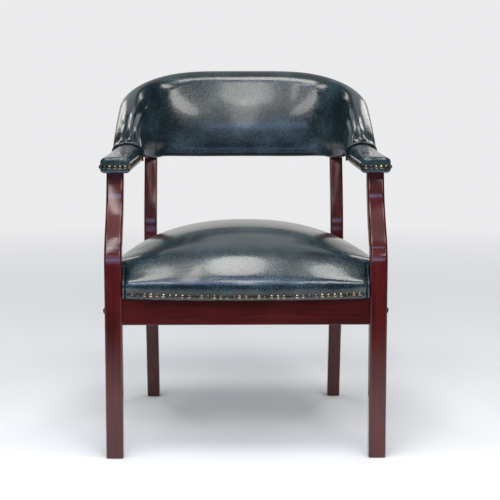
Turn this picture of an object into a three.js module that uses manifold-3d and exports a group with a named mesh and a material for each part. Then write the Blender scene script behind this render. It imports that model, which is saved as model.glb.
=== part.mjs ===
// Captain's chair: a mahogany frame of four shaped legs and four rails, a domed seat upholstered
// in glossy vinyl with brass nails, two padded arms, and a padded back that wraps round the sitter.
// Millimetres, z up. While it is built, x = 0 is the middle, y runs rearward from the front legs'
// faces and z = 0 is the floor. Left and right are as seen by someone who faces the chair.
import * as THREE from 'three';
import { mergeVertices } from 'three/addons/utils/BufferGeometryUtils.js';
import Module from 'manifold-3d';

const wasm = await Module();
wasm.setup();

// Front legs, which sweep back above the seat and carry the arms
const legSpread = 557;
const legWidth = 36.5;
const legDepth = 39;
const legEase = 3.5;
const kneeHeight = 402;
const armSetBack = 114;
const postDepth = 36;
const legFaceShares = [[0, 0.458], [0.764, 0.396]];
const legBackShares = [[0, 0.026], [0, 0.317], [0.729, 0.32]];

// Rear legs, raked below the seat and leaning back above it
const rearSpread = 437;
const rearWidth = 29.5;
const rearDepth = 34;
const rearEase = 3;
const rearFootSet = 555;
const waistSet = 459;
const waistHeight = 400;
const rearTopSet = 514;
const rearFootShares = [[0.635, 0.375], [0.0625, 0.675]];
const rearPostShares = [[0, 0.372], [0.655, 0.691]];

// Rails between the legs, with a glued block in each corner
const railTop = 345;
const railHeight = 58;
const railThick = 22;
const frontRailInset = 10;
const rearRailInset = 8;
const sideRailInset = 11;
const blockReach = 68;
const blockHeight = 36;
const blockDrop = 6;

// Seat: board, foam and a vinyl cover with a bowed front and a high crown
const seatFrontSet = 3;
const seatBow = 24;
const seatRearSet = 488;
const seatSideInset = 2;
const frontEdge = 381;
const sideEdge = 414;
const rearEdge = 390;
const edgeRise = 70;
const seatTop = 473;
const hemHeight = 15;
const hemDraw = 2;
const wallBulge = 1.5;
const bulgeHeight = 24;
const crownRound = 2.2;
const crownPower = 0.8;
const coverThick = 2.5;
const boardThick = 12;
const legClearance = 6;
const crownShares = [0.985, 0.95, 0.89, 0.8, 0.66, 0.45, 0.2];

// Arms: a wooden rail inside a padded vinyl cover
const armBottom = 600.5;
const armThick = 33;
const armCrown = 2.5;
const armCuffCrown = 11;
const armCrownRise = 110;
const armWidth = 64;
const armCuffWidth = 60.5;
const armFrontSet = 68;
const armFrontSpread = 552;
const armCuffSpread = 518;
const armEdgeRound = 9;
const armShares = [0.45, 0.72, 0.87, 1];
const armFrontRound = 15;
const armFrontPuff = 7;
const armRailWidth = 42;
const armRailThick = 15;
const armRailEndGap = 12;
const armRailTail = 60;

// Back: a bent plywood core in a padded cover, closed by an outside panel
const cuffSet = 268;
const cuffLift = 1.5;
const cuffHeight = 50;
const cuffBottom = armBottom + cuffLift;
const cuffTop = cuffBottom + cuffHeight;
const wingSpread = 520;
const wingSplay = 1;
const wingThick = 69;
const backDrop = 12.5;
const backHeight = 199;
const backBottom = armBottom - backDrop;
const backTop = backBottom + backHeight;
const backThick = 48;
const backSet = 545;
const cornerRadius = 95;
const cornerTurn = 80;
const backLean = 0.2;
const leanStart = 90;
const leanLength = 260;
const riseLength = 405;
const riseShares = [0, 0.157, 0.3, 0.437, 0.563, 0.68, 0.785, 0.875, 0.943, 0.984, 1];
const rollShare = 0.47;
const underRound = 13;
const hemRound = 2.5;
const lumbarBulge = 5;
const coreThick = 12;
const panelThick = 2.7;
const coreInset = 8;
const coreTopDrop = 4;

// Brass nails, joined in rows by the thin strip that carries their heads
const nailRadius = 4.7;
const nailHeight = 2.4;
const seatNailPitch = 13.3;
const seatNailLift = 4;
const armNailPitch = 10.9;
const seatNailHeight = 6.5;
const armNailHeight = 14;
const stripHeight = 4;
const stripThick = 0.6;
const seatNailEnd = 15.25;

// Welts, the piped seams at the cushion's front corners and round the cuffs
const weltRadius = 2.2;
const seatWeltBend = 14;
const cuffWeltFoot = 6;

// Fastenings
const boltRadius = 3;
const boltHeadRadius = 6;
const boltHeadThick = 4;
const boltLength = 68;
const boltHeight = railTop - railHeight / 2;
const capRadius = 7;
const capHeight = 4;
const nutRadius = 5;
const nutLength = 20;
const nutSet = 58;
const armDowelRadius = 5;
const armDowelLength = 36;
const backDowelRadius = 4;
const backDowelLength = 52;
const backDowelSink = 19;
const screwRadius = 2;
const screwHeadRadius = 4;
const screwHeadThick = 2;
const screwBite = 8;
const glideRadius = 11;
const glideThick = 3.5;
const glideTaper = 1;
const glideProud = 1;
const clothThick = 0.8;
const clothInset = 4;

// Clearances and overruns
const gap = 0.3;
const overrun = 5;

// Steps on curved stretches
const curveSteps = 9;
const roundSteps = 3;
const boltSides = 10;
const weltSides = 8;
const weltSteps = 14;

const mahogany = new THREE.MeshStandardMaterial({ color: 0x4a1512, roughness: 0.28, metalness: 0 });
const plywood = new THREE.MeshStandardMaterial({ color: 0xb58d5a, roughness: 0.7, metalness: 0 });
const vinyl = new THREE.MeshStandardMaterial({ color: 0x2c3c40, roughness: 0.32, metalness: 0 });
const foam = new THREE.MeshStandardMaterial({ color: 0xe3d9b0, roughness: 0.95, metalness: 0 });
const cloth = new THREE.MeshStandardMaterial({ color: 0x161616, roughness: 0.95, metalness: 0 });
const brass = new THREE.MeshStandardMaterial({ color: 0xa07a45, roughness: 0.3, metalness: 1 });
const steel = new THREE.MeshStandardMaterial({ color: 0x9a9ca0, roughness: 0.35, metalness: 1 });
const nylon = new THREE.MeshStandardMaterial({ color: 0x2a211d, roughness: 0.5, metalness: 0 });

const chair = new THREE.Group();

function add(name, geometry, material) {
  const mesh = new THREE.Mesh(geometry, material);
  mesh.name = name;
  chair.add(mesh);
  return mesh;
}

// Both hands of a piece: make(side) builds it for side = -1, the left, or 1, the right
const hands = [['left', -1], ['right', 1]];

function addPair(name, make, material) {
  for (const [hand, side] of hands) add(`${name}_${hand}`, make(side), material);
}

// Closed mesh to solid and back, for joins and cuts
function solidOf(geometry) {
  const plain = geometry.clone();
  plain.deleteAttribute('normal');
  plain.deleteAttribute('uv');
  const merged = mergeVertices(plain, 1e-3);
  return new wasm.Manifold(new wasm.Mesh({
    numProp: 3,
    vertProperties: merged.attributes.position.array,
    triVerts: new Uint32Array(merged.index.array),
  }));
}

function geometryOf(solid) {
  const mesh = solid.getMesh();
  const geometry = new THREE.BufferGeometry();
  geometry.setAttribute('position', new THREE.BufferAttribute(new Float32Array(mesh.vertProperties), 3));
  geometry.setIndex(new THREE.BufferAttribute(new Uint32Array(mesh.triVerts), 1));
  const faceted = geometry.toNonIndexed();
  faceted.computeVertexNormals();
  return faceted;
}

function cut(geometry, ...tools) {
  return geometryOf(tools.reduce((solid, tool) => solid.subtract(solidOf(tool)), solidOf(geometry)));
}

function join(...pieces) {
  return geometryOf(pieces.slice(1).reduce((solid, one) => solid.add(solidOf(one)), solidOf(pieces[0])));
}

function common(a, b) {
  return geometryOf(solidOf(a).intersect(solidOf(b)));
}

// Skin over rings of equally many points. Each end is closed with a fan round its middle, or with
// the triangles of the flat outline that endOutline gives.
function skin(rings, endOutline) {
  const count = rings[0].length;
  const points = rings.flat();
  const faces = [];
  for (let r = 0; r + 1 < rings.length; r++) {
    for (let i = 0; i < count; i++) {
      const a = r * count + i;
      const b = r * count + (i + 1) % count;
      faces.push(a, b, b + count, a, b + count, a + count);
    }
  }
  for (const [first, flip] of [[0, true], [(rings.length - 1) * count, false]]) {
    if (endOutline) {
      for (const [a, b, c] of THREE.ShapeUtils.triangulateShape(endOutline, [])) {
        faces.push(first + a, first + (flip ? c : b), first + (flip ? b : c));
      }
      continue;
    }
    const middle = new THREE.Vector3();
    for (let i = 0; i < count; i++) middle.addScaledVector(points[first + i], 1 / count);
    points.push(middle);
    for (let i = 0; i < count; i++) {
      const next = first + (i + 1) % count;
      faces.push(points.length - 1, flip ? next : first + i, flip ? first + i : next);
    }
  }
  return facingOut(points, faces);
}

// Geometry from points and triangles, turned so that its faces point out
function facingOut(points, faces) {
  let volume = 0;
  for (let i = 0; i < faces.length; i += 3) {
    const [a, b, c] = [points[faces[i]], points[faces[i + 1]], points[faces[i + 2]]];
    volume += a.dot(new THREE.Vector3().crossVectors(b, c));
  }
  if (volume < 0) faces.reverse();
  const geometry = new THREE.BufferGeometry().setFromPoints(points);
  geometry.setIndex(faces);
  return geometry;
}

// Slab between two heights over an outline in plan
function slab(outline, low, high) {
  const shape = new THREE.Shape(outline.map(([x, y]) => new THREE.Vector2(x, y)));
  const geometry = new THREE.ExtrudeGeometry(shape, { depth: high - low, bevelEnabled: false });
  return geometry.translate(0, 0, low);
}

// Prism across the chair over an outline of y and z, from one x to a larger one, with eased edges
function across(shape, from, to, ease) {
  const geometry = new THREE.ExtrudeGeometry(shape, {
    depth: to - from - 2 * ease,
    bevelEnabled: ease > 0,
    bevelThickness: ease,
    bevelSize: ease,
    bevelOffset: -ease,
    bevelSegments: ease > 0 ? 1 : 0,
    curveSegments: curveSteps,
  });
  geometry.translate(0, 0, ease);
  const place = new THREE.Matrix4().makeBasis(
    new THREE.Vector3(0, 1, 0), new THREE.Vector3(0, 0, 1), new THREE.Vector3(1, 0, 0));
  return geometry.applyMatrix4(place).translate(from, 0, 0);
}

// Round bar along a direction, from a start point
function bar(start, direction, radius, length, sides = boltSides) {
  const geometry = new THREE.CylinderGeometry(radius, radius, length, sides);
  geometry.translate(0, length / 2, 0);
  const turn = new THREE.Quaternion().setFromUnitVectors(
    new THREE.Vector3(0, 1, 0), direction.clone().normalize());
  return geometry.applyQuaternion(turn).translate(start.x, start.y, start.z);
}

const up = new THREE.Vector3(0, 0, 1);

function towardMiddle(side) {
  return new THREE.Vector3(-side, 0, 0);
}

// Front leg: its face and its back, as lists of y and z from the floor to the arm
const postTop = armBottom - gap;

function legPoint([set, rise], base) {
  return [base + set * armSetBack, kneeHeight + rise * (postTop - kneeHeight)];
}

function curvePoints(start, controls, end) {
  const places = [start, ...controls, end].map(([y, z]) => new THREE.Vector2(y, z));
  return new THREE.CubicBezierCurve(...places).getPoints(curveSteps);
}

function legFace() {
  const controls = legFaceShares.map((share) => legPoint(share, 0));
  return curvePoints([0, kneeHeight], controls, [armSetBack, postTop]);
}

function legBack(shift = 0) {
  const [start, ...controls] = legBackShares.map((share) => legPoint(share, legDepth + shift));
  const topBack = armSetBack + postDepth + shift;
  return curvePoints(start, controls, [topBack, postTop]);
}

function sideRange(centre, width, side) {
  return [side * centre - width / 2, side * centre + width / 2];
}

function legBlank(side) {
  const outline = [new THREE.Vector2(0, glideProud), ...legFace(), ...legBack().reverse(),
    new THREE.Vector2(legDepth, glideProud)];
  return across(new THREE.Shape(outline), ...sideRange(legSpread / 2, legWidth, side), legEase);
}

// Rear leg: its front face; its back is the same curve one depth behind
function rearFace(shift = 0) {
  const rake = rearFootSet - waistSet;
  const lean = rearTopSet - waistSet;
  const postRise = backBottom - gap - waistHeight;
  const foot = rearFootShares.map(([set, rise]) => [waistSet + shift + set * rake, rise * waistHeight]);
  const post = rearPostShares.map(([set, rise]) =>
    [waistSet + shift + set * lean, waistHeight + rise * postRise]);
  const waist = [waistSet + shift, waistHeight];
  const low = curvePoints([rearFootSet + shift, glideProud], foot, waist);
  const high = curvePoints(waist, post, [rearTopSet + shift, waistHeight + postRise]);
  return [...low, ...high.slice(1)];
}

function rearBlank(side) {
  const outline = [...rearFace(), ...rearFace(rearDepth).reverse()];
  return across(new THREE.Shape(outline), ...sideRange(rearSpread / 2, rearWidth, side), rearEase);
}

// y of a leg curve at a height
function depthAt(curve, height) {
  const after = curve.findIndex((p, i) => i > 0 && p.y >= height);
  const [a, b] = [curve[after - 1], curve[after]];
  return a.x + (b.x - a.x) * (height - a.y) / (b.y - a.y);
}

// Rails, in plan
const legInner = legSpread / 2 - legWidth / 2;
const rearInner = rearSpread / 2 - rearWidth / 2;
const railBottom = railTop - railHeight;
const frontRailBack = frontRailInset + railThick;
const rearRailFace = depthAt(rearFace(), railBottom) + rearRailInset;
const sideRailStart = legDepth + gap;
const sideRailEnd = depthAt(rearFace(), railTop);

// x of the side rails' outer face at a depth
function sideOuter(y) {
  const front = legSpread / 2 + legWidth / 2 - sideRailInset;
  const rear = rearSpread / 2 + rearWidth / 2 - gap;
  return front + (rear - front) * (y - sideRailStart) / (sideRailEnd - sideRailStart);
}

function sideInner(y) {
  return sideOuter(y) - railThick;
}

// All that lies behind a line of y and z, as a cutting tool
function behind(line, from, to) {
  const far = rearFootSet + rearDepth + overrun;
  const outline = [...line, new THREE.Vector2(far, line.at(-1).y), new THREE.Vector2(far, line[0].y)];
  return across(new THREE.Shape(outline), from, to, 0);
}

function boltStart(side, y) {
  const outer = y < sideRailEnd ? legSpread / 2 + legWidth / 2 : rearSpread / 2 + rearWidth / 2;
  return new THREE.Vector3(side * outer, y, boltHeight);
}

const frontBoltSet = frontRailInset + railThick / 2;
const rearBoltSet = rearRailFace + railThick / 2;

// The hollow that a cross bolt needs: a seat for its head, its shank and its barrel nut
function boltHollow(side, y) {
  const start = boltStart(side, y);
  const inward = towardMiddle(side);
  const outside = start.clone().addScaledVector(inward, -overrun);
  const headDepth = boltHeadThick + gap;
  return join(
    bar(outside, inward, boltHeadRadius + gap, headDepth + overrun),
    bar(outside, inward, boltRadius + gap, boltLength + headDepth + overrun));
}

function nutPlace(side, y) {
  const outer = boltStart(side, y).x;
  return new THREE.Vector3(outer - side * nutSet, y, boltHeight - nutLength / 2);
}

function nutHollow(side, y) {
  const place = nutPlace(side, y);
  const depth = place.z + nutLength - railBottom + gap;
  return bar(place.clone().setZ(railBottom - overrun), up, nutRadius + gap, depth + overrun);
}

function bolt(side, y) {
  const start = boltStart(side, y).addScaledVector(towardMiddle(side), gap);
  const inward = towardMiddle(side);
  return join(
    bar(start, inward, boltHeadRadius, boltHeadThick),
    bar(start, inward, boltRadius, boltLength));
}

function barrelNut(side, y) {
  const across = bar(boltStart(side, y), towardMiddle(side), boltRadius + gap, boltLength + overrun);
  return cut(bar(nutPlace(side, y), up, nutRadius, nutLength), across);
}

// Domed button over a bolt's head
function boltCap(side, y) {
  const profile = [new THREE.Vector2(0, 0)];
  for (let i = 0; i <= roundSteps; i++) {
    const angle = Math.PI / 2 * i / roundSteps;
    profile.push(new THREE.Vector2(capRadius * Math.cos(angle), capHeight * Math.sin(angle)));
  }
  const dome = new THREE.LatheGeometry(profile, boltSides);
  dome.rotateZ(-side * Math.PI / 2);
  const place = boltStart(side, y);
  return dome.translate(place.x + side * gap, place.y, place.z);
}

// Dowels that hold the arms on the posts and the back on the rear legs
const armDowelSet = armSetBack + postDepth / 2;

function armDowelBase(side) {
  return new THREE.Vector3(side * legSpread / 2, armDowelSet, postTop - armDowelLength / 2);
}

function armDowel(side, extra = 0) {
  const base = armDowelBase(side).setZ(armDowelBase(side).z - extra);
  return bar(base, up, armDowelRadius + extra, armDowelLength + 2 * extra);
}

// Glide let into a foot, and the hollow for it when it is made larger all round
function glide(side, x, y, extra = 0) {
  const radius = glideRadius + extra;
  const shape = new THREE.CylinderGeometry(radius, radius - glideTaper, glideThick + 2 * extra, boltSides);
  return shape.rotateX(Math.PI / 2).translate(side * x, y, glideThick / 2);
}

addPair('front_leg', (side) =>
  cut(legBlank(side), boltHollow(side, frontBoltSet), armDowel(side, gap),
    glide(side, legSpread / 2, legDepth / 2, gap)), mahogany);

// Back: stations from the right cuff round to the left one, along splayed wings, the corners and
// the flatter arc between them
function backStations() {
  const turn = THREE.MathUtils.degToRad(cornerTurn);
  const splay = THREE.MathUtils.degToRad(wingSplay);
  const half = wingSpread / 2;
  const flat = (1 - Math.sin(turn)) / Math.cos(turn);
  const wingRun = backSet - cornerRadius + cornerRadius * Math.sin(splay) - cuffSet;
  const cornerX = (half - cornerRadius * Math.cos(splay) - Math.tan(splay) * wingRun)
    / (1 - Math.tan(splay) * flat);
  const cornerY = backSet - cornerRadius - cornerX * flat;
  const arcRadius = cornerX / Math.cos(turn) + cornerRadius;
  const wingLength = (cornerY + cornerRadius * Math.sin(splay) - cuffSet) / Math.cos(splay);
  const cornerLength = cornerRadius * (turn - splay);
  const list = [];
  const wingSteps = 5;
  const cornerSteps = 7;
  const backSteps = 4;
  const push = (x, y, angle, s) => list.push({ x, y, nx: Math.cos(angle), ny: Math.sin(angle), s });
  for (let i = 0; i < wingSteps; i++) {
    const s = wingLength * i / wingSteps;
    push(half - s * Math.sin(splay), cuffSet + s * Math.cos(splay), i ? splay : 0, s);
  }
  for (let i = 0; i < cornerSteps; i++) {
    const a = splay + (turn - splay) * i / cornerSteps;
    push(cornerX + cornerRadius * Math.cos(a), cornerY + cornerRadius * Math.sin(a), a,
      wingLength + cornerRadius * (a - splay));
  }
  for (let i = 0; i <= backSteps; i++) {
    const a = turn + (Math.PI / 2 - turn) * i / backSteps;
    push(arcRadius * Math.cos(a), backSet - arcRadius * (1 - Math.sin(a)), a,
      wingLength + cornerLength + arcRadius * (a - turn));
  }
  const mirrored = list.slice(0, -1).reverse().map((p) => ({ ...p, x: -p.x, nx: -p.nx }));
  return [...list, ...mirrored].map(sized);
}

function smooth(value, start, length) {
  return THREE.MathUtils.smoothstep(value, start, start + length);
}

// Smooth line through the shares of the back's rise, which stand at equal steps
const riseLine = new THREE.SplineCurve(riseShares.map((share, i) =>
  new THREE.Vector2(i / (riseShares.length - 1), share)));

// The section's height, thickness and lean at a station
function sized(station) {
  const { s } = station;
  const settle = smooth(s, 0, riseLength);
  return {
    ...station,
    bottom: cuffBottom + (backBottom - cuffBottom) * settle,
    top: cuffTop + (backTop - cuffTop) * riseLine.getPoint(Math.min(1, s / riseLength)).y,
    thick: wingThick + (backThick - wingThick) * settle,
    lean: backLean * smooth(s, leanStart, leanLength),
  };
}

function placed(station, [n, z]) {
  return new THREE.Vector3(
    station.x + station.nx * n,
    station.y + station.ny * n + station.lean * (z - station.bottom),
    z);
}

function arcPoints(cn, cz, rn, rz, from, to, steps) {
  const list = [];
  for (let i = 0; i <= steps; i++) {
    const a = THREE.MathUtils.degToRad(from + (to - from) * i / steps);
    list.push([cn + rn * Math.cos(a), cz + rz * Math.sin(a)]);
  }
  return list;
}

const quarter = 90;
const bulgeShares = [0.75, 0.5, 0.25];

// Padded cover's section: over the top, down the inside and under, open to the outside at the core
function coverSection({ bottom, top, thick }) {
  const half = thick / 2;
  const roll = rollShare * thick;
  const slot = half - coreThick - panelThick - 2 * gap;
  const insideTop = top - roll;
  const insideBottom = bottom + underRound;
  return [
    [half, insideTop - coreTopDrop],
    ...arcPoints(half - roll, top - roll, roll, roll, 0, quarter, roundSteps),
    ...arcPoints(roll - half, top - roll, roll, roll, quarter, 2 * quarter, roundSteps),
    ...bulgeShares.map((share) => [
      -half - lumbarBulge * Math.sin(Math.PI * share) * Math.min(1, (top - bottom) / (backTop - backBottom)),
      insideBottom + (insideTop - insideBottom) * share]),
    ...arcPoints(underRound - half, insideBottom, underRound, underRound, 2 * quarter, 3 * quarter, roundSteps),
    [half - hemRound, bottom],
    [half, bottom + hemRound],
    [half, bottom + coreInset],
    [slot, bottom + coreInset],
    [slot, insideTop - coreTopDrop],
  ];
}

// Rectangle in the section, between two offsets and from the slot's foot to its head
function slotSection({ bottom, top, thick }, from, to) {
  const low = bottom + coreInset + gap;
  const high = top - rollShare * thick - coreTopDrop - gap;
  return [[from, low], [to, low], [to, high], [from, high]];
}

// Section swept round the back. Neighbours are swept in opposite directions, so that the twisted
// faces between them are split along the same diagonals and stay parallel.
function sweepBack(section, reverse = false) {
  const stations = backStations();
  if (reverse) stations.reverse();
  const rings = stations.map((station) => section(station).map((point) => placed(station, point)));
  const outline = section(stations[0]).map(([n, z]) => new THREE.Vector2(n, z));
  return skin(rings, outline);
}

// Arm: its middle line in plan runs from the front to the cuff
function armMiddle(y) {
  const share = (y - armFrontSet) / (cuffSet - armFrontSet);
  return (armFrontSpread + (armCuffSpread - armFrontSpread) * share) / 2;
}

function armHalf(y) {
  const share = (y - armFrontSet) / (cuffSet - armFrontSet);
  return (armWidth + (armCuffWidth - armWidth) * share) / 2;
}

// Section of the pad, grown by an amount all round, as offsets from its middle and heights
function armSection(y, grow, growHigh) {
  const half = armHalf(y) + grow;
  const low = armBottom - growHigh;
  const high = armBottom + armThick + growHigh;
  const round = armEdgeRound;
  const rise = armCrown + (armCuffCrown - armCrown) * smooth(y, cuffSet - armCrownRise, armCrownRise);
  const top = [
    ...arcPoints(half - round, high - round, round, round, 0, quarter, 2),
    [half / 2, high], [0, high], [-half / 2, high],
    ...arcPoints(round - half, high - round, round, round, quarter, 2 * quarter, 2),
  ].map(([n, z]) => [n, z + rise * (1 - (n / half) ** 2)]);
  return [
    ...top,
    ...arcPoints(round - half, low + round, round, round, 2 * quarter, 3 * quarter, 2),
    ...arcPoints(half - round, low + round, round, round, 3 * quarter, 4 * quarter, 2),
  ];
}

function armRing(side, y, grow, growHigh) {
  const middle = side * armMiddle(y);
  return armSection(y, grow, growHigh).map(([n, z]) => new THREE.Vector3(middle + n, y, z));
}

function armPad(side) {
  const rings = [];
  for (let i = 0; i <= roundSteps; i++) {
    const a = Math.PI / 2 * i / roundSteps;
    const inset = 1 - Math.sin(a);
    rings.push(armRing(side, armFrontSet + armFrontPuff * (1 - Math.cos(a)),
      -armFrontRound * inset, -armFrontPuff * inset));
  }
  for (const share of armShares) {
    rings.push(armRing(side, armFrontSet + share * (cuffSet - gap - armFrontSet), 0, 0));
  }
  return skin(rings);
}

// Wooden rail inside the arm, running on into the wing
function armRail(side, extra = 0) {
  const start = armFrontSet + armRailEndGap - extra;
  const end = cuffSet + armRailTail + extra;
  const half = armRailWidth / 2 + extra;
  const low = armBottom + coverThick + gap;
  const outline = [
    [side * (armMiddle(start) - half), start],
    [side * (armMiddle(start) + half), start],
    [side * (armMiddle(end) + half), end],
    [side * (armMiddle(end) - half), end],
  ];
  if (side < 0) outline.reverse();
  return slab(outline, low - extra, low + armRailThick + extra);
}

// Dowel from a rear leg into the back's core
function backDowel(side, extra = 0) {
  const core = backThick / 2 - panelThick - coreThick / 2;
  const base = new THREE.Vector3(
    side * rearSpread / 2, coreDepth(rearSpread / 2, core), backBottom - backDowelSink - extra);
  return bar(base, up, backDowelRadius + extra, backDowelLength + 2 * extra);
}

// y of the line that runs at an offset from the back's middle surface, at an x and at its foot
function coreDepth(x, offset) {
  const line = backStations().filter((p) => p.x >= 0 && p.s > 0).map((p) => placed(p, [offset, p.bottom]));
  const after = line.findIndex((p) => p.x <= x);
  const [a, b] = [line[after - 1], line[after]];
  return a.y + (b.y - a.y) * (a.x - x) / (a.x - b.x);
}

addPair('rear_leg', (side) =>
  cut(rearBlank(side), boltHollow(side, rearBoltSet), backDowel(side, gap),
    glide(side, rearSpread / 2, rearFootSet + rearDepth / 2, gap)), mahogany);

// Rails
function crossRail(reach, face, y) {
  const outline = [[-reach, face], [reach, face], [reach, face + railThick], [-reach, face + railThick]];
  const hollows = hands.flatMap(([, side]) => [boltHollow(side, y), nutHollow(side, y)]);
  return cut(slab(outline, railBottom, railTop), ...hollows);
}

add('front_rail', crossRail(legInner - gap, frontRailInset, frontBoltSet), mahogany);
add('rear_rail', crossRail(rearInner - gap, rearRailFace, rearBoltSet), mahogany);

// Room for the four legs in what stands against them
function legRoom(clearance) {
  const far = legSpread / 2 + legWidth;
  const line = legBack(clearance);
  const low = railBottom - overrun;
  const ahead = -seatBow - seatFrontSet - overrun;
  const outline = [
    new THREE.Vector2(legDepth + clearance, low), ...line,
    new THREE.Vector2(ahead, line.at(-1).y), new THREE.Vector2(ahead, low)];
  return hands.flatMap(([, side]) => {
    const front = [side * (legInner - clearance), side * far].sort((a, b) => a - b);
    const rear = [side * (rearInner - clearance), side * far].sort((a, b) => a - b);
    return [across(new THREE.Shape(outline), ...front, 0), behind(rearFace(-clearance), ...rear)];
  });
}

function sideRail(side) {
  const end = sideRailEnd + rearDepth;
  const outline = [
    [side * sideInner(sideRailStart), sideRailStart],
    [side * sideOuter(sideRailStart), sideRailStart],
    [side * sideOuter(end), end],
    [side * sideInner(end), end],
  ];
  if (side < 0) outline.reverse();
  return cut(slab(outline, railBottom, railTop), ...legRoom(gap));
}

addPair('side_rail', sideRail, mahogany);

// Corner blocks, cut to the slant of the side rails
const blockTop = railTop - blockDrop;

function frontBlock(side) {
  const near = frontRailBack + gap;
  const wall = legInner - 2 * gap;
  const slantStart = sideRailStart + (sideInner(sideRailStart) - gap - wall)
    / (sideInner(sideRailStart) - sideInner(sideRailStart + 1));
  const far = near + blockReach;
  const outline = [[side * (wall - blockReach), near], [side * wall, near], [side * wall, slantStart],
    [side * (sideInner(far) - gap), far]];
  if (side < 0) outline.reverse();
  return cut(slab(outline, blockTop - blockHeight, blockTop), seatScrew(side, true, gap),
    nutHollow(side, frontBoltSet));
}

function rearBlock(side) {
  const near = rearRailFace - gap;
  const far = near - blockReach;
  const wall = rearInner - 2 * gap;
  const outline = [[side * (sideInner(far) - gap), far], [side * (sideInner(near) - gap), near],
    [side * (wall - blockReach), near]];
  if (side < 0) outline.reverse();
  const blank = slab(outline, blockTop - blockHeight, blockTop);
  const post = behind(rearFace(-gap), ...sideRange(rearSpread / 2, rearWidth + 2 * gap, side));
  return cut(blank, post, seatScrew(side, false, gap));
}

// Screws that hold the seat board down, up through the corner blocks
const boardBottom = railTop + gap;
const boardTop = boardBottom + boardThick;

function seatScrew(side, front, extra = 0) {
  const third = blockReach / 3;
  const y = front ? frontRailBack + third : rearRailFace - third;
  const x = front ? legInner - third : rearInner - third / 2;
  const low = new THREE.Vector3(side * x, y, blockTop - blockHeight - gap - extra);
  const shank = blockHeight + blockDrop + gap + screwBite;
  const sunk = low.clone().setZ(low.z - screwHeadThick - extra);
  return join(
    bar(low, up, screwRadius + extra, shank + 2 * extra),
    bar(sunk, up, screwHeadRadius + extra, screwHeadThick + 2 * extra));
}

addPair('corner_block_front', frontBlock, mahogany);
addPair('corner_block_rear', rearBlock, mahogany);
addPair('seat_screw_front', (side) => seatScrew(side, true), steel);
addPair('seat_screw_rear', (side) => seatScrew(side, false), steel);

addPair('bolt_front', (side) => bolt(side, frontBoltSet), steel);
addPair('bolt_rear', (side) => bolt(side, rearBoltSet), steel);
addPair('barrel_nut_front', (side) => barrelNut(side, frontBoltSet), steel);
addPair('barrel_nut_rear', (side) => barrelNut(side, rearBoltSet), steel);
addPair('bolt_cap_front', (side) => boltCap(side, frontBoltSet), mahogany);
addPair('bolt_cap_rear', (side) => boltCap(side, rearBoltSet), mahogany);

// Glides let into the feet
addPair('glide_front', (side) => glide(side, legSpread / 2, legDepth / 2), nylon);
addPair('glide_rear', (side) => glide(side, rearSpread / 2, rearFootSet + rearDepth / 2), nylon);

// Seat: outline in plan, drawn in by an inset, from the front left corner round
const frontPoints = 12;
const sidePoints = 6;
const rearPoints = 6;

function seatHalf(y, inset) {
  return sideOuter(y) - seatSideInset - inset;
}

// y of the bowed front at an x
function frontLine(x, inset) {
  return seatFrontSet + inset - seatBow * (1 - (x / seatHalf(seatFrontSet, inset)) ** 2);
}

function seatOutline(inset) {
  const half = seatHalf(seatFrontSet, inset);
  const rearHalf = seatHalf(seatRearSet, inset);
  const rear = seatRearSet - inset;
  const list = [];
  for (let i = 0; i < frontPoints; i++) {
    const x = half * (2 * i / frontPoints - 1);
    list.push([x, frontLine(x, inset)]);
  }
  const front = seatFrontSet + inset;
  for (let i = 0; i < sidePoints; i++) {
    const share = i / sidePoints;
    list.push([half + (rearHalf - half) * share, front + (rear - front) * share]);
  }
  for (let i = 0; i < rearPoints; i++) list.push([rearHalf * (1 - 2 * i / rearPoints), rear]);
  for (let i = 0; i < sidePoints; i++) {
    const share = 1 - i / sidePoints;
    list.push([-half - (rearHalf - half) * share, front + (rear - front) * share]);
  }
  return list;
}

// Height of the cushion's top: low along the front edge, highest along the sides just behind it,
// falling again to the rear, and crowned
function seatHeight(x, y) {
  const front = frontLine(x, 0);
  const edge = frontEdge + (sideEdge - frontEdge) * smooth(y, front, edgeRise)
    - (sideEdge - rearEdge) * smooth(y, edgeRise, seatRearSet - edgeRise);
  const wide = Math.min(1, Math.abs(x) / seatHalf(y, 0));
  const deep = Math.min(1, Math.abs(2 * (y - front) / (seatRearSet - front) - 1));
  const rise = ((1 - wide ** crownRound) * (1 - deep ** crownRound)) ** crownPower;
  return edge + (seatTop - edge) * rise;
}

function seatRing(inset, height) {
  return seatOutline(inset).map(([x, y]) => new THREE.Vector3(x, y, height));
}

function crownRing(inset, share) {
  const middle = (seatFrontSet - seatBow + seatRearSet) / 2;
  const drawn = seatOutline(inset).map(([x, y]) => [x * share, middle + (y - middle) * share]);
  return drawn.map(([x, y]) => new THREE.Vector3(x, y, seatHeight(x, y) - inset));
}

// The cushion's whole form, drawn in and lowered by an inset, with every second step of the crown
// where it is hidden
function seatForm(inset) {
  const shares = crownShares.filter((_, i) => inset === 0 || i % 2 === 0);
  return skin([
    seatRing(hemDraw + inset, boardBottom),
    seatRing(hemDraw + inset, boardBottom + hemHeight),
    seatRing(inset - wallBulge, boardBottom + bulgeHeight),
    crownRing(inset, 1),
    ...shares.map((share) => crownRing(inset, share)),
  ]);
}

const seatOuter = cut(seatForm(0), ...legRoom(legClearance));
const seatHollow = cut(seatForm(coverThick), ...legRoom(legClearance + coverThick));
const seatInner = cut(seatForm(coverThick + gap), ...legRoom(legClearance + coverThick + gap));

function seatLayer(low, high) {
  const reach = legSpread;
  const outline = [[-reach, -reach], [reach, -reach], [reach, 2 * reach], [-reach, 2 * reach]];
  return slab(outline, low, high);
}

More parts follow.
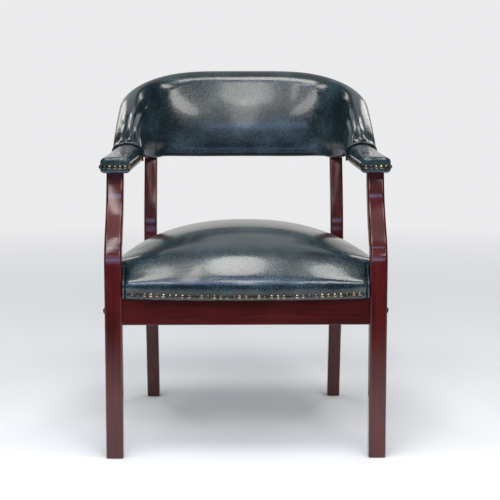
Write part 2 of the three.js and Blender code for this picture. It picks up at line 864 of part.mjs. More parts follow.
// The hollow runs out below, so the cover is open underneath
const seatHollowOpen = join(seatHollow,
  common(seatHollow, seatLayer(boardBottom - overrun, boardBottom + hemHeight)).translate(0, 0, -overrun / 2));
add('seat_cover', cut(seatOuter, seatHollowOpen), vinyl);
add('seat_foam', common(seatInner, seatLayer(boardTop + gap, seatTop)), foam);
const screwHoles = hands.flatMap(([, side]) => [seatScrew(side, true, gap), seatScrew(side, false, gap)]);
add('seat_board', cut(common(seatInner, seatLayer(boardBottom - overrun, boardTop)), ...screwHoles), plywood);

// Dust cloth under the board, inside the rails and over the corner blocks
function dustCloth() {
  const front = frontRailBack + clothInset;
  const rear = rearRailFace - clothInset;
  const turn = sideRailEnd - rearRailInset - clothInset;
  const inner = rearInner - clothInset;
  const outline = [
    [-legInner + clothInset, front], [legInner - clothInset, front],
    [sideInner(turn) - clothInset - railThick / 2, turn], [inner, turn], [inner, rear],
    [-inner, rear], [-inner, turn], [-sideInner(turn) + clothInset + railThick / 2, turn],
  ];
  return slab(outline, boardBottom - gap - clothThick, boardBottom - gap);
}
add('dust_cloth', cut(dustCloth(), ...screwHoles), cloth);

// Arms
addPair('arm_rail', (side) => cut(armRail(side), armDowel(side, gap)), plywood);
addPair('arm_pad', (side) => cut(armPad(side), armRail(side, gap), armDowel(side, gap)), vinyl);
addPair('arm_dowel', (side) => armDowel(side), plywood);

// Back
const armRailRooms = hands.map(([, side]) => armRail(side, gap));
const backDowelRooms = hands.map(([, side]) => backDowel(side, gap));
add('back_cover', cut(sweepBack(coverSection), ...armRailRooms, ...backDowelRooms), vinyl);
const core = sweepBack((station) => slotSection(station,
  station.thick / 2 - panelThick - coreThick - gap, station.thick / 2 - panelThick - gap), true);
add('back_core', cut(core, ...armRailRooms, ...backDowelRooms), plywood);
add('outside_back', sweepBack((station) => slotSection(station,
  station.thick / 2 - panelThick, station.thick / 2)), vinyl);
addPair('back_dowel', (side) => backDowel(side), plywood);

// A row of nails on an upright wall: path holds the points of the wall in plan, in order, with the
// open side on the left of the path's direction when turn is 1, or on its right when it is -1, and
// heightAt gives the row's height at a place
function nailRow(path, heightAt, pitch, turn) {
  const corners = path.map(([x, y]) => new THREE.Vector2(x, y));
  const reach = [0];
  for (let i = 1; i < corners.length; i++) reach.push(reach[i - 1] + corners[i].distanceTo(corners[i - 1]));
  const total = reach.at(-1);
  const count = Math.floor((total - 2 * nailRadius) / pitch);
  const first = (total - count * pitch) / 2;

  // How far each place is from bare strip, 0, to full head, 1
  const swells = [[0, 0]];
  for (let k = 0; k <= count; k++) {
    const centre = first + k * pitch;
    swells.push([centre - nailRadius, 0], [centre - nailRadius / 2, 1],
      [centre + nailRadius / 2, 1], [centre + nailRadius, 0]);
  }
  swells.push([total, 0]);
  const swell = (d) => {
    const after = Math.max(1, swells.findIndex(([at]) => at >= d));
    const [[from, a], [to, b]] = [swells[after - 1], swells[after]];
    return a + (b - a) * (d - from) / (to - from);
  };

  // Point of the wall at a distance, and the way out of the wall there
  const normals = corners.slice(1).map((p, i) => {
    const along = p.clone().sub(corners[i]).normalize();
    return new THREE.Vector2(-along.y * turn, along.x * turn);
  });
  const ring = (d) => {
    const i = Math.min(corners.length - 2, Math.max(0, reach.findIndex((r) => r > d) - 1));
    const last = d >= total ? corners.length - 2 : i;
    const onCorner = last > 0 && d === reach[last];
    const out = onCorner ? normals[last].clone().add(normals[last - 1]).normalize() : normals[last].clone();
    out.divideScalar(out.dot(normals[last]));
    const place = corners[last].clone().lerp(corners[last + 1], (d - reach[last]) / (reach[last + 1] - reach[last]));
    const share = swell(d);
    const high = stripHeight / 2 + (nailRadius - stripHeight / 2) * share;
    const thick = stripThick + (nailHeight - stripThick) * share;
    return [[gap, -high], [gap + thick, -high], [gap + thick, high], [gap, high]].map(([n, z]) =>
      new THREE.Vector3(place.x + out.x * n, place.y + out.y * n, heightAt(place) + z));
  };
  const stops = [...swells.map(([at]) => at), ...reach].sort((a, b) => a - b);
  const apart = stops.filter((d, i) => i === 0 || d - stops[i - 1] > gap);
  return skin(apart.map(ring));
}

// Part of a line in plan between two distances along x or y
function stretch(line, axis, from, to) {
  const list = [];
  for (let i = 0; i + 1 < line.length; i++) {
    const [a, b] = [line[i], line[i + 1]];
    for (const limit of [from, to]) {
      const share = (limit - a[axis]) / (b[axis] - a[axis]);
      if (share >= 0 && share < 1) {
        list.push([a[0] + (b[0] - a[0]) * share, a[1] + (b[1] - a[1]) * share]);
      }
    }
    if (b[axis] > from && b[axis] < to) list.push(b);
  }
  return list;
}

const nailLevel = boardBottom + seatNailHeight;
const seatNailReach = 2 * (legInner - seatNailEnd);
const frontHem = seatOutline(hemDraw).slice(0, frontPoints + 1);
const frontRow = stretch(frontHem, 0, -seatNailReach / 2, seatNailReach / 2);
const nailLift = ({ x }) => seatNailLift * (2 * x / seatNailReach) ** 2;
add('seat_nails', nailRow(frontRow, (p) => nailLevel + nailLift(p), seatNailPitch, -1), brass);

// Arm nails: along the inside, round the front and along the outside
addPair('arm_nails', (side) => {
  const rounds = [];
  for (let i = roundSteps; i >= 0; i--) {
    const a = Math.PI / 2 * i / roundSteps;
    const y = armFrontSet + armFrontPuff * (1 - Math.cos(a));
    rounds.push([armMiddle(y), armHalf(y) - armFrontRound * (1 - Math.sin(a)), y]);
  }
  const end = cuffSet - 2 * gap - 2 * weltRadius;
  rounds.unshift([armMiddle(end), armHalf(end), end]);
  const inside = rounds.map(([middle, half, y]) => [side * (middle - half), y]);
  const outside = rounds.reverse().map(([middle, half, y]) => [side * (middle + half), y]);
  return nailRow([...inside, ...outside], () => armBottom + armNailHeight, armNailPitch, -side);
}, brass);

// Round cord along a smooth line of points
function cord(points, radius) {
  const circle = new THREE.Shape();
  circle.absarc(0, 0, radius, 0, 2 * Math.PI);
  const line = new THREE.CatmullRomCurve3(points, false, 'centripetal');
  return new THREE.ExtrudeGeometry(circle, {
    steps: weltSteps,
    curveSegments: weltSides / 2,
    extrudePath: line,
    bevelEnabled: false,
  });
}

// Seat welts: up the cushion's front corners, over them and back along its upper edge
addPair('seat_welt', (side) => {
  const x = legInner - legClearance + gap + weltRadius;
  const front = frontLine(legInner - legClearance, 0) + weltRadius;
  const over = (y) => new THREE.Vector3(side * x, y, seatHeight(legInner - legClearance, y) - weltRadius);
  const low = boardBottom + weltRadius;
  const bend = seatHeight(legInner - legClearance, front + seatWeltBend) - seatWeltBend;
  return cord([
    new THREE.Vector3(side * x, front + hemDraw, low),
    new THREE.Vector3(side * x, front - wallBulge / 2, (low + bend) / 2),
    new THREE.Vector3(side * x, front, bend),
    over(front + seatWeltBend / 2), over(front + 2 * seatWeltBend), over(legDepth),
  ], weltRadius);
}, vinyl);

// Cuff welts: over each arm in front of the wing
addPair('cuff_welt', (side) => {
  const y = cuffSet - gap - weltRadius;
  const middle = side * armMiddle(y);
  const room = weltRadius + 2 * gap;
  const top = armSection(y, room, room).filter(([, z]) => z > armBottom + armThick - armEdgeRound);
  const foot = armBottom + cuffWeltFoot;
  const [[outer]] = top;
  const points = [[outer, foot], [outer, (foot + top[0][1]) / 2], ...top,
    [-outer, (foot + top[0][1]) / 2], [-outer, foot]];
  return cord(points.map(([n, z]) => new THREE.Vector3(middle + n, y, z)), weltRadius);
}, vinyl);

// The origin is the middle of the footprint, on the floor
const box = new THREE.Box3().setFromObject(chair);
chair.position.y = -(box.min.y + box.max.y) / 2;

export default chair;
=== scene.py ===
import math
import random

import bmesh
import bpy
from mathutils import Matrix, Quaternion, Vector


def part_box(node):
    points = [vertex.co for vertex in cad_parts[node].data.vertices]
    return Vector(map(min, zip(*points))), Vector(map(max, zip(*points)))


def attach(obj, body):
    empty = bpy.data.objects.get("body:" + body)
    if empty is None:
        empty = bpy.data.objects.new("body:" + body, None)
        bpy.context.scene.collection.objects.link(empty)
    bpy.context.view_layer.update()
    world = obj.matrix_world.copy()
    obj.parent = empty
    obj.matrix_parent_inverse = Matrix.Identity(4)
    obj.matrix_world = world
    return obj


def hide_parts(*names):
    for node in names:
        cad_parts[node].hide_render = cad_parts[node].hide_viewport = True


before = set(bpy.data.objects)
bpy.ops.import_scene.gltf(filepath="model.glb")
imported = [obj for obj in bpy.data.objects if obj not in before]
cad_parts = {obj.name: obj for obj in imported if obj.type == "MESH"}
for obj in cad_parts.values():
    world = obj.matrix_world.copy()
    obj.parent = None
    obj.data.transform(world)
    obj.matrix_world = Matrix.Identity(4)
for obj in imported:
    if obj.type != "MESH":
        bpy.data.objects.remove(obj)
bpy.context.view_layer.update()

# Camera: at sitting eye height in front of the chair, a little to its left, looking slightly
# down through a long lens.
camera = bpy.data.objects.new("camera", bpy.data.cameras.new("camera"))
bpy.context.scene.collection.objects.link(camera)
camera.location = (-0.0416, -3.9593, 1.0323)
camera.rotation_euler = Vector((0.01341, 0.98748, -0.15714)).to_track_quat("-Z", "Y").to_euler()
camera.data.lens = 128.3
camera.data.sensor_width = 36
bpy.context.scene.camera = camera
bpy.context.scene.view_settings.view_transform = "Standard"

# Studio: a pale floor that fades into a white backdrop, a wall of windows and a strip of blue sky
# in front, and lamps in the ceiling, all of which the gloss of the cover and of the wood picks up.
bpy.ops.object.select_all(action="DESELECT")
bpy.ops.mesh.primitive_circle_add(vertices=96, radius=9, fill_type="NGON", location=(0, 0, 0))
floor = bpy.context.object
floor.name = "floor"


def set_inputs(node, values):
    """Put a value, or another node's output, on each of a node's named inputs."""
    for name, value in values.items():
        if isinstance(value, bpy.types.NodeSocket):
            node.id_data.links.new(value, node.inputs[name])
        else:
            node.inputs[name].default_value = value


def add(tree, kind, output, values, **settings):
    """Add a shader node with its settings and inputs, and give one of its outputs."""
    node = tree.nodes.new("ShaderNode" + kind)
    for setting, choice in settings.items():
        setattr(node, setting, choice)
    set_inputs(node, values)
    return node.outputs[output]


def ramp(tree, value, stops, ease="LINEAR"):
    """Colours along a value, from stops that are each a share and a colour."""
    node = tree.nodes.new("ShaderNodeValToRGB")
    node.color_ramp.interpolation = ease
    set_inputs(node, {"Fac": value})
    elements = node.color_ramp.elements
    for element, (share, colour) in zip(elements, (stops[0], stops[-1])):
        element.position = share
        element.color = (*colour, 1)
    for share, colour in stops[1:-1]:
        elements.new(share).color = (*colour, 1)
    return node.outputs["Color"]


def new_material(name):
    """A material with its node tree, the place on the object and the shader of its surface."""
    material = bpy.data.materials.new(name)
    material.use_nodes = True
    tree = material.node_tree
    return material, tree, add(tree, "TexCoord", "Object", {}), tree.nodes["Principled BSDF"]


paper, tree, place, skin = new_material("paper")
tree.nodes.remove(skin)
reach = add(tree, "VectorMath", "Value", {0: place}, operation="LENGTH")
fade = add(tree, "MapRange", "Result", {"Value": reach, "From Min": 0.9, "From Max": 3.2})
# The floor in front of the paper is dark, which only reflections show
depth = add(tree, "SeparateXYZ", "Y", {0: place})
paper_end = add(tree, "MapRange", "Result", {"Value": depth, "From Min": -0.7, "From Max": -1.6})
in_gloss = add(tree, "LightPath", "Is Glossy Ray", {})
reflected = add(tree, "Math", 0, {0: paper_end, 1: in_gloss}, operation="MULTIPLY")
gone = add(tree, "Math", 0, {0: fade, 1: reflected}, operation="MAXIMUM")
matt = add(tree, "BsdfDiffuse", 0, {"Color": (0.85, 0.846, 0.85, 1)})
clear = add(tree, "BsdfTransparent", 0, {})
mixed = add(tree, "MixShader", 0, {0: gone, 1: matt, 2: clear})
set_inputs(tree.nodes["Material Output"], {"Surface": mixed})
floor.data.materials.append(paper)

world = bpy.data.worlds.new("studio")
bpy.context.scene.world = world
world.use_nodes = True
tree = world.node_tree
backdrop = tree.nodes["Background"]
set_inputs(backdrop, {"Color": (0.83, 0.832, 0.845, 1), "Strength": 1})
ambient = add(tree, "Background", 0, {"Color": (0.88, 0.93, 1, 1), "Strength": 0.5})
# In reflections a pale wall stands behind the chair, with a shaded band and a grey ceiling above it;
# the side of the camera is dark
direction = add(tree, "TexCoord", "Generated", {})
level = add(tree, "VectorMath", 0, {0: direction, 1: (1, 1, 0)}, operation="MULTIPLY")
bearing = add(tree, "VectorMath", 0, {0: level}, operation="NORMALIZE")
rearward = add(tree, "SeparateXYZ", "Y", {0: bearing})
upward = add(tree, "SeparateXYZ", "Z", {0: direction})
behind = add(tree, "MapRange", "Result",
             {"Value": rearward, "From Min": 0.87, "From Max": 0.95, "To Min": 0.05},
             interpolation_type="SMOOTHSTEP")
overhead = add(tree, "MapRange", "Result", {"Value": upward, "From Min": 0.88, "From Max": 0.99},
               interpolation_type="SMOOTHSTEP")
either = add(tree, "Math", 0, {0: behind, 1: overhead}, operation="MAXIMUM")
wall = ramp(tree, upward, [
    (0, (0.62, 0.62, 0.6)), (0.26, (0.76, 0.76, 0.73)), (0.34, (0.22, 0.24, 0.27)),
    (0.5, (0.6, 0.61, 0.63)), (1, (0.5, 0.51, 0.53))], "B_SPLINE")
mirrored = add(tree, "Background", 0, {"Color": wall, "Strength": either})
in_gloss = add(tree, "LightPath", "Is Glossy Ray", {})
glossy = add(tree, "MixShader", 0, {0: in_gloss, 1: ambient, 2: mirrored})
in_view = add(tree, "LightPath", "Is Camera Ray", {})
seen = add(tree, "MixShader", 0, {0: in_view, 1: glossy, 2: backdrop.outputs[0]})
set_inputs(tree.nodes["World Output"], {"Surface": seen})


def panel(name, place, target, width, height, radiance, colour, roll=0, soft=1, shape="ELLIPSE"):
    """Area lamp at a place, facing a target, as bright to look at as its radiance."""
    lamp = bpy.data.lights.new(name, "AREA")
    lamp.shape = shape
    lamp.size, lamp.size_y = width, height
    lamp.energy = radiance * math.pi * width * height * (math.pi / 4 if shape == "ELLIPSE" else 1)
    lamp.color = colour
    lamp.diffuse_factor = soft
    holder = bpy.data.objects.new(name, lamp)
    bpy.context.scene.collection.objects.link(holder)
    holder.location = place
    facing = (Vector(target) - Vector(place)).to_track_quat("-Z", "Y")
    holder.rotation_euler = (facing @ Quaternion((0, 0, 1), math.radians(roll))).to_euler()
    holder.visible_camera = False
    return holder


warm = (1, 0.98, 0.94)
sky = (0.36, 0.56, 1)
chest = (0, 0.24, 0.7)
panel("window_middle", (0.02, -2.7, 1.68), (0.02, 0.24, 0.7), 0.28, 0.95, 4.3, warm)
panel("window_top", (0, -2.5, 2.2), chest, 0.54, 0.6, 6.9, warm)
panel("window_right", (0.97, -2.25, 1.98), (-0.15, 0.24, 0.72), 1.25, 0.4, 7.6, warm, 38)
panel("window_left", (-0.97, -2.25, 1.98), (0.14, 0.24, 0.72), 1.25, 0.36, 6.2, warm, -38)
panel("sky_low", (-0.5, -4.2, 1.6), (0, 0, 0.6), 2.5, 0.28, 3, sky, shape="RECTANGLE")
panel("sky_high", (-0.3, -1.85, 2.4), (-0.3, -1.6, 0.4), 2.0, 0.35, 3.4, sky, soft=0.2)
panel("sky_near", (-0.13, -0.46, 0.485), (-0.13, -0.3, 0.44), 0.95, 0.09, 1.6, sky, soft=0.02)
panel("ceiling_middle", (-0.06, -0.83, 2.4), (-0.06, -0.83, 0), 0.46, 1.0, 8, warm, soft=0.2)
panel("ceiling_left", (-0.86, -0.86, 2.4), (-0.86, -0.86, 0), 0.6, 0.95, 6.2, warm, soft=0.2)
panel("ceiling_right", (0.8, -0.86, 2.4), (0.8, -0.86, 0), 0.5, 0.95, 7.2, warm, soft=0.2)
panel("ceiling_strip", (-0.47, -1.65, 2.4), (-0.4, -0.9, 0.5), 0.13, 1.9, 8, (1, 0.93, 0.91), soft=0.2)
panel("side_left", (-0.98, 1.38, 1.62), (0, 0, 0.7), 0.28, 1.3, 3.2, warm, soft=0.1)
panel("side_right", (0.98, 1.38, 1.62), (0, 0, 0.7), 0.28, 1.3, 3.4, warm, soft=0.1)
fill = panel("fill", (0.2, -3.1, 2.5), (0, 0, 0.1), 2.4, 1.2, 4.863, (1, 1, 1), shape="RECTANGLE")
fill.data.specular_factor = 0
fill.visible_glossy = False

# Front legs: square mahogany bars, sawn to two curves so that they stand upright below the seat
# and sweep back to carry the arms, with rounded edges and a polished dark red finish.
mm = 0.001
front_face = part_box("front_leg_left")[0].y
leg_spread, leg_width, leg_depth, leg_round = 557, 36.5, 39, 5
leg_straight, foot_round = (1, 120, 240), 1.2
leg_face = [(0, 402), (0, 492.7), (87.1, 480.6), (114, 600.2)]
leg_back = [(39, 407.2), (39, 464.8), (122.1, 465.5), (150, 600.2)]
hands = (("left", -1), ("right", 1))


def spot(x, y, z):
    """Point given in millimetres: x from the middle, y back from the front legs, z up."""
    return Vector((x * mm, front_face + y * mm, z * mm))


def bezier(points, steps):
    a, b, c, d = (Vector(p) for p in points)
    line = []
    for i in range(steps + 1):
        u = i / steps
        line.append((1 - u) ** 3 * a + 3 * (1 - u) ** 2 * u * b + 3 * (1 - u) * u * u * c + u ** 3 * d)
    return line


def choose(piece, kind, wanted):
    """In edit mode, select the vertices, edges or faces that wanted() accepts."""
    bpy.context.tool_settings.mesh_select_mode = tuple(kind == k for k in ("VERT", "EDGE", "FACE"))
    shape = bmesh.from_edit_mesh(piece.data)
    items = {"VERT": shape.verts, "EDGE": shape.edges, "FACE": shape.faces}[kind]
    for group in (shape.verts, shape.edges, shape.faces):
        for item in group:
            item.select = False
    found = [item for item in items if wanted(item)]
    for item in found:
        item.select_set(True)
    bmesh.update_edit_mesh(piece.data)
    return len(found)


def name_new(name):
    piece = bpy.context.object
    piece.name = piece.data.name = name
    return piece


def only(piece):
    """Select one piece alone and make it the active one."""
    bpy.ops.object.select_all(action="DESELECT")
    piece.select_set(True)
    bpy.context.view_layer.objects.active = piece


def settle(piece):
    """Put a finished object at the origin, with its place in its mesh."""
    only(piece)
    bpy.ops.object.transform_apply(location=True, rotation=True, scale=True)


def polish(piece, angle=38):
    """Smooth shading that keeps the flats flat."""
    settle(piece)
    bpy.ops.object.shade_smooth_by_angle(angle=math.radians(angle))
    even = piece.modifiers.new("even", "WEIGHTED_NORMAL")
    even.keep_sharp = True
    bpy.ops.object.modifier_apply(modifier=even.name)


def lengthwise(edge):
    (ax, ay, az), (bx, by, bz) = (v.co for v in edge.verts)
    return abs(ax - bx) < 1e-5 and abs(by - ay) < 25 * mm and abs(bz - az) > 0.5 * mm


def sawn_leg(name, x, width, faces, backs, ease):
    """Slice at the foot, extruded up from station to station, with its long edges rounded."""
    bpy.ops.object.select_all(action="DESELECT")
    low = spot(x, (faces[0].x + backs[0].x) / 2, faces[0].y)
    bpy.ops.mesh.primitive_plane_add(size=1, location=low)
    leg = name_new(name)
    leg.scale = (width * mm, (backs[0].x - faces[0].x) * mm, 1)
    settle(leg)
    bpy.ops.object.mode_set(mode="EDIT")
    bpy.ops.mesh.select_all(action="SELECT")
    for i in range(1, len(faces)):
        step = faces[i] - faces[i - 1]
        bpy.ops.mesh.extrude_region_move(
            TRANSFORM_OT_translate={"value": (0, step.x * mm, step.y * mm)})
        top = [v for v in bmesh.from_edit_mesh(leg.data).verts if v.select]
        middle = sum(v.co.y for v in top) / len(top)
        whole = {v.index for v in top}
        rear = {v.index for v in top if v.co.y > middle}
        choose(leg, "VERT", lambda v: v.index in rear)
        change = backs[i] - backs[i - 1] - step
        bpy.ops.transform.translate(value=(0, change.x * mm, change.y * mm))
        choose(leg, "FACE", lambda f: all(v.index in whole for v in f.verts))
    bpy.ops.mesh.select_all(action="SELECT")
    bpy.ops.mesh.normals_make_consistent(inside=False)
    choose(leg, "EDGE", lengthwise)
    bpy.ops.mesh.bevel(offset=ease * mm, segments=4, affect="EDGES")
    foot = faces[0].y * mm
    choose(leg, "EDGE", lambda e: all(abs(v.co.z - foot) < 1e-5 for v in e.verts))
    bpy.ops.mesh.bevel(offset=foot_round * mm, segments=2, affect="EDGES")
    bpy.ops.object.mode_set(mode="OBJECT")
    return leg


def noise(tree, place, scale, detail=2, roughness=0.5):
    return add(tree, "TexNoise", "Fac",
               {"Vector": place, "Scale": scale, "Detail": detail, "Roughness": roughness})


def blend(tree, share, first, second):
    return add(tree, "Mix", "Result", {"Factor": share, "A": first, "B": second})


def between(tree, value, low, high):
    """A value from 0 to 1, brought between two others."""
    return add(tree, "MapRange", "Result", {"Value": value, "To Min": low, "To Max": high})


def bumps(tree, height, strength, distance):
    return add(tree, "Bump", "Normal", {"Height": height, "Strength": strength, "Distance": distance})


def mahogany(name, along, tone=1):
    """Polished mahogany, its grain drawn out along one axis: pores, darker streaks, slow shade
    changes and a clear lacquer over them."""
    wood, tree, place, skin = new_material(name)
    drawn = add(tree, "Mapping", "Vector",
                {"Vector": place, "Scale": [6 if axis == along else 150 for axis in "xyz"]})
    streaks, pores = noise(tree, drawn, 1, 7, 0.65), noise(tree, drawn, 6, 4)
    slow = noise(tree, place, 11, 3)
    stain = [(0.3, (0.021, 0.0014, 0.0018)), (0.5, (0.055, 0.0036, 0.004)), (0.72, (0.105, 0.0085, 0.008))]
    stain = [(share, [part * tone for part in colour]) for share, colour in stain]
    set_inputs(skin, {
        "Base Color": ramp(tree, blend(tree, 0.35, streaks, slow), stain),
        "Roughness": between(tree, slow, 0.3, 0.46), "Normal": bumps(tree, pores, 0.25, 0.0002),
        "Specular IOR Level": 0.1, "Coat Weight": 0.92, "Coat IOR": 1.55, "Coat Roughness": 0.1})
    return wood


upright_wood = mahogany("mahogany_upright", "z")
leg_faces = [Vector((0, z)) for z in leg_straight] + bezier(leg_face, 40)
leg_backs = [Vector((leg_depth, z)) for z in leg_straight] + bezier(leg_back, 40)
for hand, side in hands:
    leg = sawn_leg(f"leg_front_{hand}", side * leg_spread / 2, leg_width, leg_faces, leg_backs, leg_round)
    polish(leg)
    leg.data.materials.append(upright_wood)
    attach(leg, "root")
    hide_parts(f"front_leg_{hand}")

# Rear legs: slimmer bars of the same wood, raked out to the floor and leaning back above the
# seat, where they carry the padded back.
rear_spread, rear_width, rear_depth, rear_round = 437, 29.5, 34, 4
rear_low = [(555, 1), (520, 150), (465, 270), (459, 400)]
rear_high = [(459, 400), (459, 469.8), (495, 529.7), (514, 587.7)]
rear_faces = bezier(rear_low, 18) + bezier(rear_high, 16)[1:]
rear_backs = [p + Vector((rear_depth, 0)) for p in rear_faces]
for hand, side in hands:
    leg = sawn_leg(f"leg_rear_{hand}", side * rear_spread / 2, rear_width,
                   rear_faces, rear_backs, rear_round)
    polish(leg)
    leg.data.materials.append(upright_wood)
    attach(leg, "root")
    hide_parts(f"rear_leg_{hand}")

# Rails: four boards between the legs under the seat, of the same wood with the grain along them.
# They are the frame's own boards with their long edges eased.
across_wood = mahogany("mahogany_across", "x", 0.85)
depth_wood = mahogany("mahogany_depth", "y", 0.85)


def board(name, node, ease, long_enough):
    """Copy of a CAD node, its facets merged, with its long edges eased."""
    bpy.ops.object.select_all(action="DESELECT")
    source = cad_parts[node]
    piece = bpy.data.objects.new(name, source.data.copy())
    bpy.context.scene.collection.objects.link(piece)
    settle(piece)
    piece.data.materials.clear()
    bpy.ops.object.mode_set(mode="EDIT")
    bpy.ops.mesh.select_all(action="SELECT")
    bpy.ops.mesh.remove_doubles(threshold=2e-5)
    bpy.ops.mesh.dissolve_limited(angle_limit=math.radians(1))
    if choose(piece, "EDGE", lambda e: e.calc_length() > long_enough * mm and e.calc_face_angle(0) > 0.5):
        bpy.ops.mesh.bevel(offset=ease * mm, segments=3, affect="EDGES", clamp_overlap=True)
    bpy.ops.object.mode_set(mode="OBJECT")
    polish(piece, 30)
    return piece


for name, node, wood in (
        ("rail_front", "front_rail", across_wood), ("rail_rear", "rear_rail", across_wood),
        ("rail_left", "side_rail_left", depth_wood), ("rail_right", "side_rail_right", depth_wood)):
    rail = board(name, node, ease=1.8, long_enough=150)
    rail.data.materials.append(wood)
    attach(rail, "root")
    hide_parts(node)

# Corner blocks, bolts and screws: the hidden joinery of the frame. Blocks are sawn wood left
# unpolished, the fastenings are zinc-plated steel.
block_wood = mahogany("mahogany_sawn", "x", 1.5)
set_inputs(block_wood.node_tree.nodes["Principled BSDF"], {"Coat Weight": 0.05})
for hand, side in hands:
    for end in ("front", "rear"):
        block = board(f"block_{end}_{hand}", f"corner_block_{end}_{hand}", ease=1.2, long_enough=30)
        block.data.materials.append(block_wood)
        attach(block, "root")
        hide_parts(f"corner_block_{end}_{hand}")

zinc, tree, place, skin = new_material("zinc")
frost = noise(tree, place, 420, 4)
set_inputs(skin, {
    "Base Color": ramp(tree, frost, [(0, (0.34, 0.35, 0.36)), (1, (0.6, 0.61, 0.62))]),
    "Roughness": between(tree, frost, 0.25, 0.45), "Metallic": 1})
for hand, side in hands:
    for part in ("seat_screw", "bolt", "barrel_nut"):
        for end in ("front", "rear"):
            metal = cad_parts[f"{part}_{end}_{hand}"]
            metal.data.materials.clear()
            metal.data.materials.append(zinc)

# Bolt caps: small domed buttons of stained wood pressed over the bolt heads on the outer sides
# of the legs, just under the seat.
cap_radius, cap_height = 7, 4
cap_wood = mahogany("mahogany_cap", "z", 0.5)
for hand, side in hands:
    for end in ("front", "rear"):
        low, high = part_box(f"bolt_cap_{end}_{hand}")
        base = low.x if side > 0 else high.x
        bpy.ops.object.select_all(action="DESELECT")
        bpy.ops.mesh.primitive_uv_sphere_add(
            segments=28, ring_count=14, radius=cap_radius * mm,
            location=(base, (low.y + high.y) / 2, (low.z + high.z) / 2), rotation=(0, math.pi / 2, 0))
        cap = name_new(f"cap_{end}_{hand}")
        settle(cap)
        bpy.ops.object.mode_set(mode="EDIT")
        bpy.ops.mesh.select_all(action="SELECT")
        bpy.ops.mesh.bisect(plane_co=(base, 0, 0), plane_no=(side, 0, 0), use_fill=True, clear_inner=True)
        bpy.ops.mesh.select_all(action="SELECT")
        bpy.ops.transform.resize(value=(cap_height / cap_radius, 1, 1), center_override=(base, 0, 0))
        choose(cap, "FACE", lambda f: abs(f.normal.x) > 0.99 and abs(f.calc_center_median().x - base) < 1e-5)
        bpy.ops.mesh.inset(thickness=0.4 * mm)
        bpy.ops.object.mode_set(mode="OBJECT")
        polish(cap, 50)
        cap.data.materials.append(cap_wood)
        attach(cap, "root")
        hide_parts(f"bolt_cap_{end}_{hand}")

# Glides: dark nylon discs let into the feet, which the chair stands and slides on, with a rounded
# rim on the floor side.
nylon, tree, place, skin = new_material("nylon")
scuffs = [(0, (0.012, 0.009, 0.008)), (1, (0.04, 0.03, 0.026))]
set_inputs(skin, {"Base Color": ramp(tree, noise(tree, place, 300), scuffs), "Roughness": 0.5})
rim_round = 0.8
for hand, side in hands:
    for end in ("front", "rear"):
        low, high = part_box(f"glide_{end}_{hand}")
        bpy.ops.object.select_all(action="DESELECT")
        bpy.ops.mesh.primitive_cylinder_add(
            vertices=40, radius=(high.x - low.x) / 2, depth=high.z - low.z, location=(low + high) / 2)
        disc = name_new(f"disc_{end}_{hand}")
        settle(disc)
        bpy.ops.object.mode_set(mode="EDIT")
        foot = low.z
        choose(disc, "EDGE", lambda e: all(abs(v.co.z - foot) < 1e-5 for v in e.verts))
        bpy.ops.mesh.bevel(offset=rim_round * mm, segments=3, affect="EDGES")
        bpy.ops.object.mode_set(mode="OBJECT")
        polish(disc)
        disc.data.materials.append(nylon)
        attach(disc, "root")
        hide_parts(f"glide_{end}_{hand}")

# Seat cushion: foam on a board under a tight cover of glossy blue-green vinyl, high in the middle,
# bowed in front, drawn down over the board's edge and cut in round the legs.
seat_front, seat_rear, seat_bow, seat_run = 3, 488, 24, 70
seat_edge, seat_side, seat_back, seat_top = 381, 414, 390, 473
seat_low, hem_height, side_start, leg_room = 345.3, 15, 24, 6
cover_gap, cover_wall, seat_cap = 0.8, 2, 2.2
crown_start, crown_rings, crown_flat, crown_full = 372, 30, 2.2, 0.8
hem_in, side_out, side_gap = 2, 1.5, 2
# Depth and half width at the two ends of the side rails' outer faces
side_front, side_rear = (39.3, 285.75), (459.25, 232.95)


def smooth(value, start, length):
    t = min(1, max(0, (value - start) / length))
    return t * t * (3 - 2 * t)


def sloped(at, first, last):
    """Value at a place on the straight line through two pairs of a place and a value."""
    return first[1] + (last[1] - first[1]) * (at - first[0]) / (last[0] - first[0])


def seat_half(y):
    """Half the seat's width at a depth, a little inside the side rails' outer faces."""
    return sloped(y, side_front, side_rear) - side_gap


def front_line(x):
    return seat_front - seat_bow * (1 - (x / seat_half(seat_front)) ** 2)


def seat_height(x, y):
    front = front_line(x)
    edge = seat_edge + (seat_side - seat_edge) * smooth(y, front, seat_run)
    edge -= (seat_side - seat_back) * smooth(y, seat_run, seat_rear - seat_run)
    wide = min(1, abs(x) / seat_half(y))
    deep = min(1, abs(2 * (y - front) / (seat_rear - front) - 1))
    return edge + (seat_top - edge) * ((1 - wide ** crown_flat) * (1 - deep ** crown_flat)) ** crown_full


def outward(piece):
    shape = bmesh.new()
    shape.from_mesh(piece.data)
    bmesh.ops.remove_doubles(shape, verts=shape.verts, dist=1e-6)
    bmesh.ops.recalc_face_normals(shape, faces=shape.faces)
    if shape.calc_volume(signed=True) < 0:
        bmesh.ops.reverse_faces(shape, faces=shape.faces)
    shape.to_mesh(piece.data)
    shape.free()


def new_solid(name, points, faces):
    """Object of a closed mesh, with its faces turned outwards."""
    mesh = bpy.data.meshes.new(name)
    mesh.from_pydata([tuple(p) for p in points], [], faces)
    mesh.validate()
    piece = bpy.data.objects.new(name, mesh)
    bpy.context.scene.collection.objects.link(piece)
    outward(piece)
    return piece


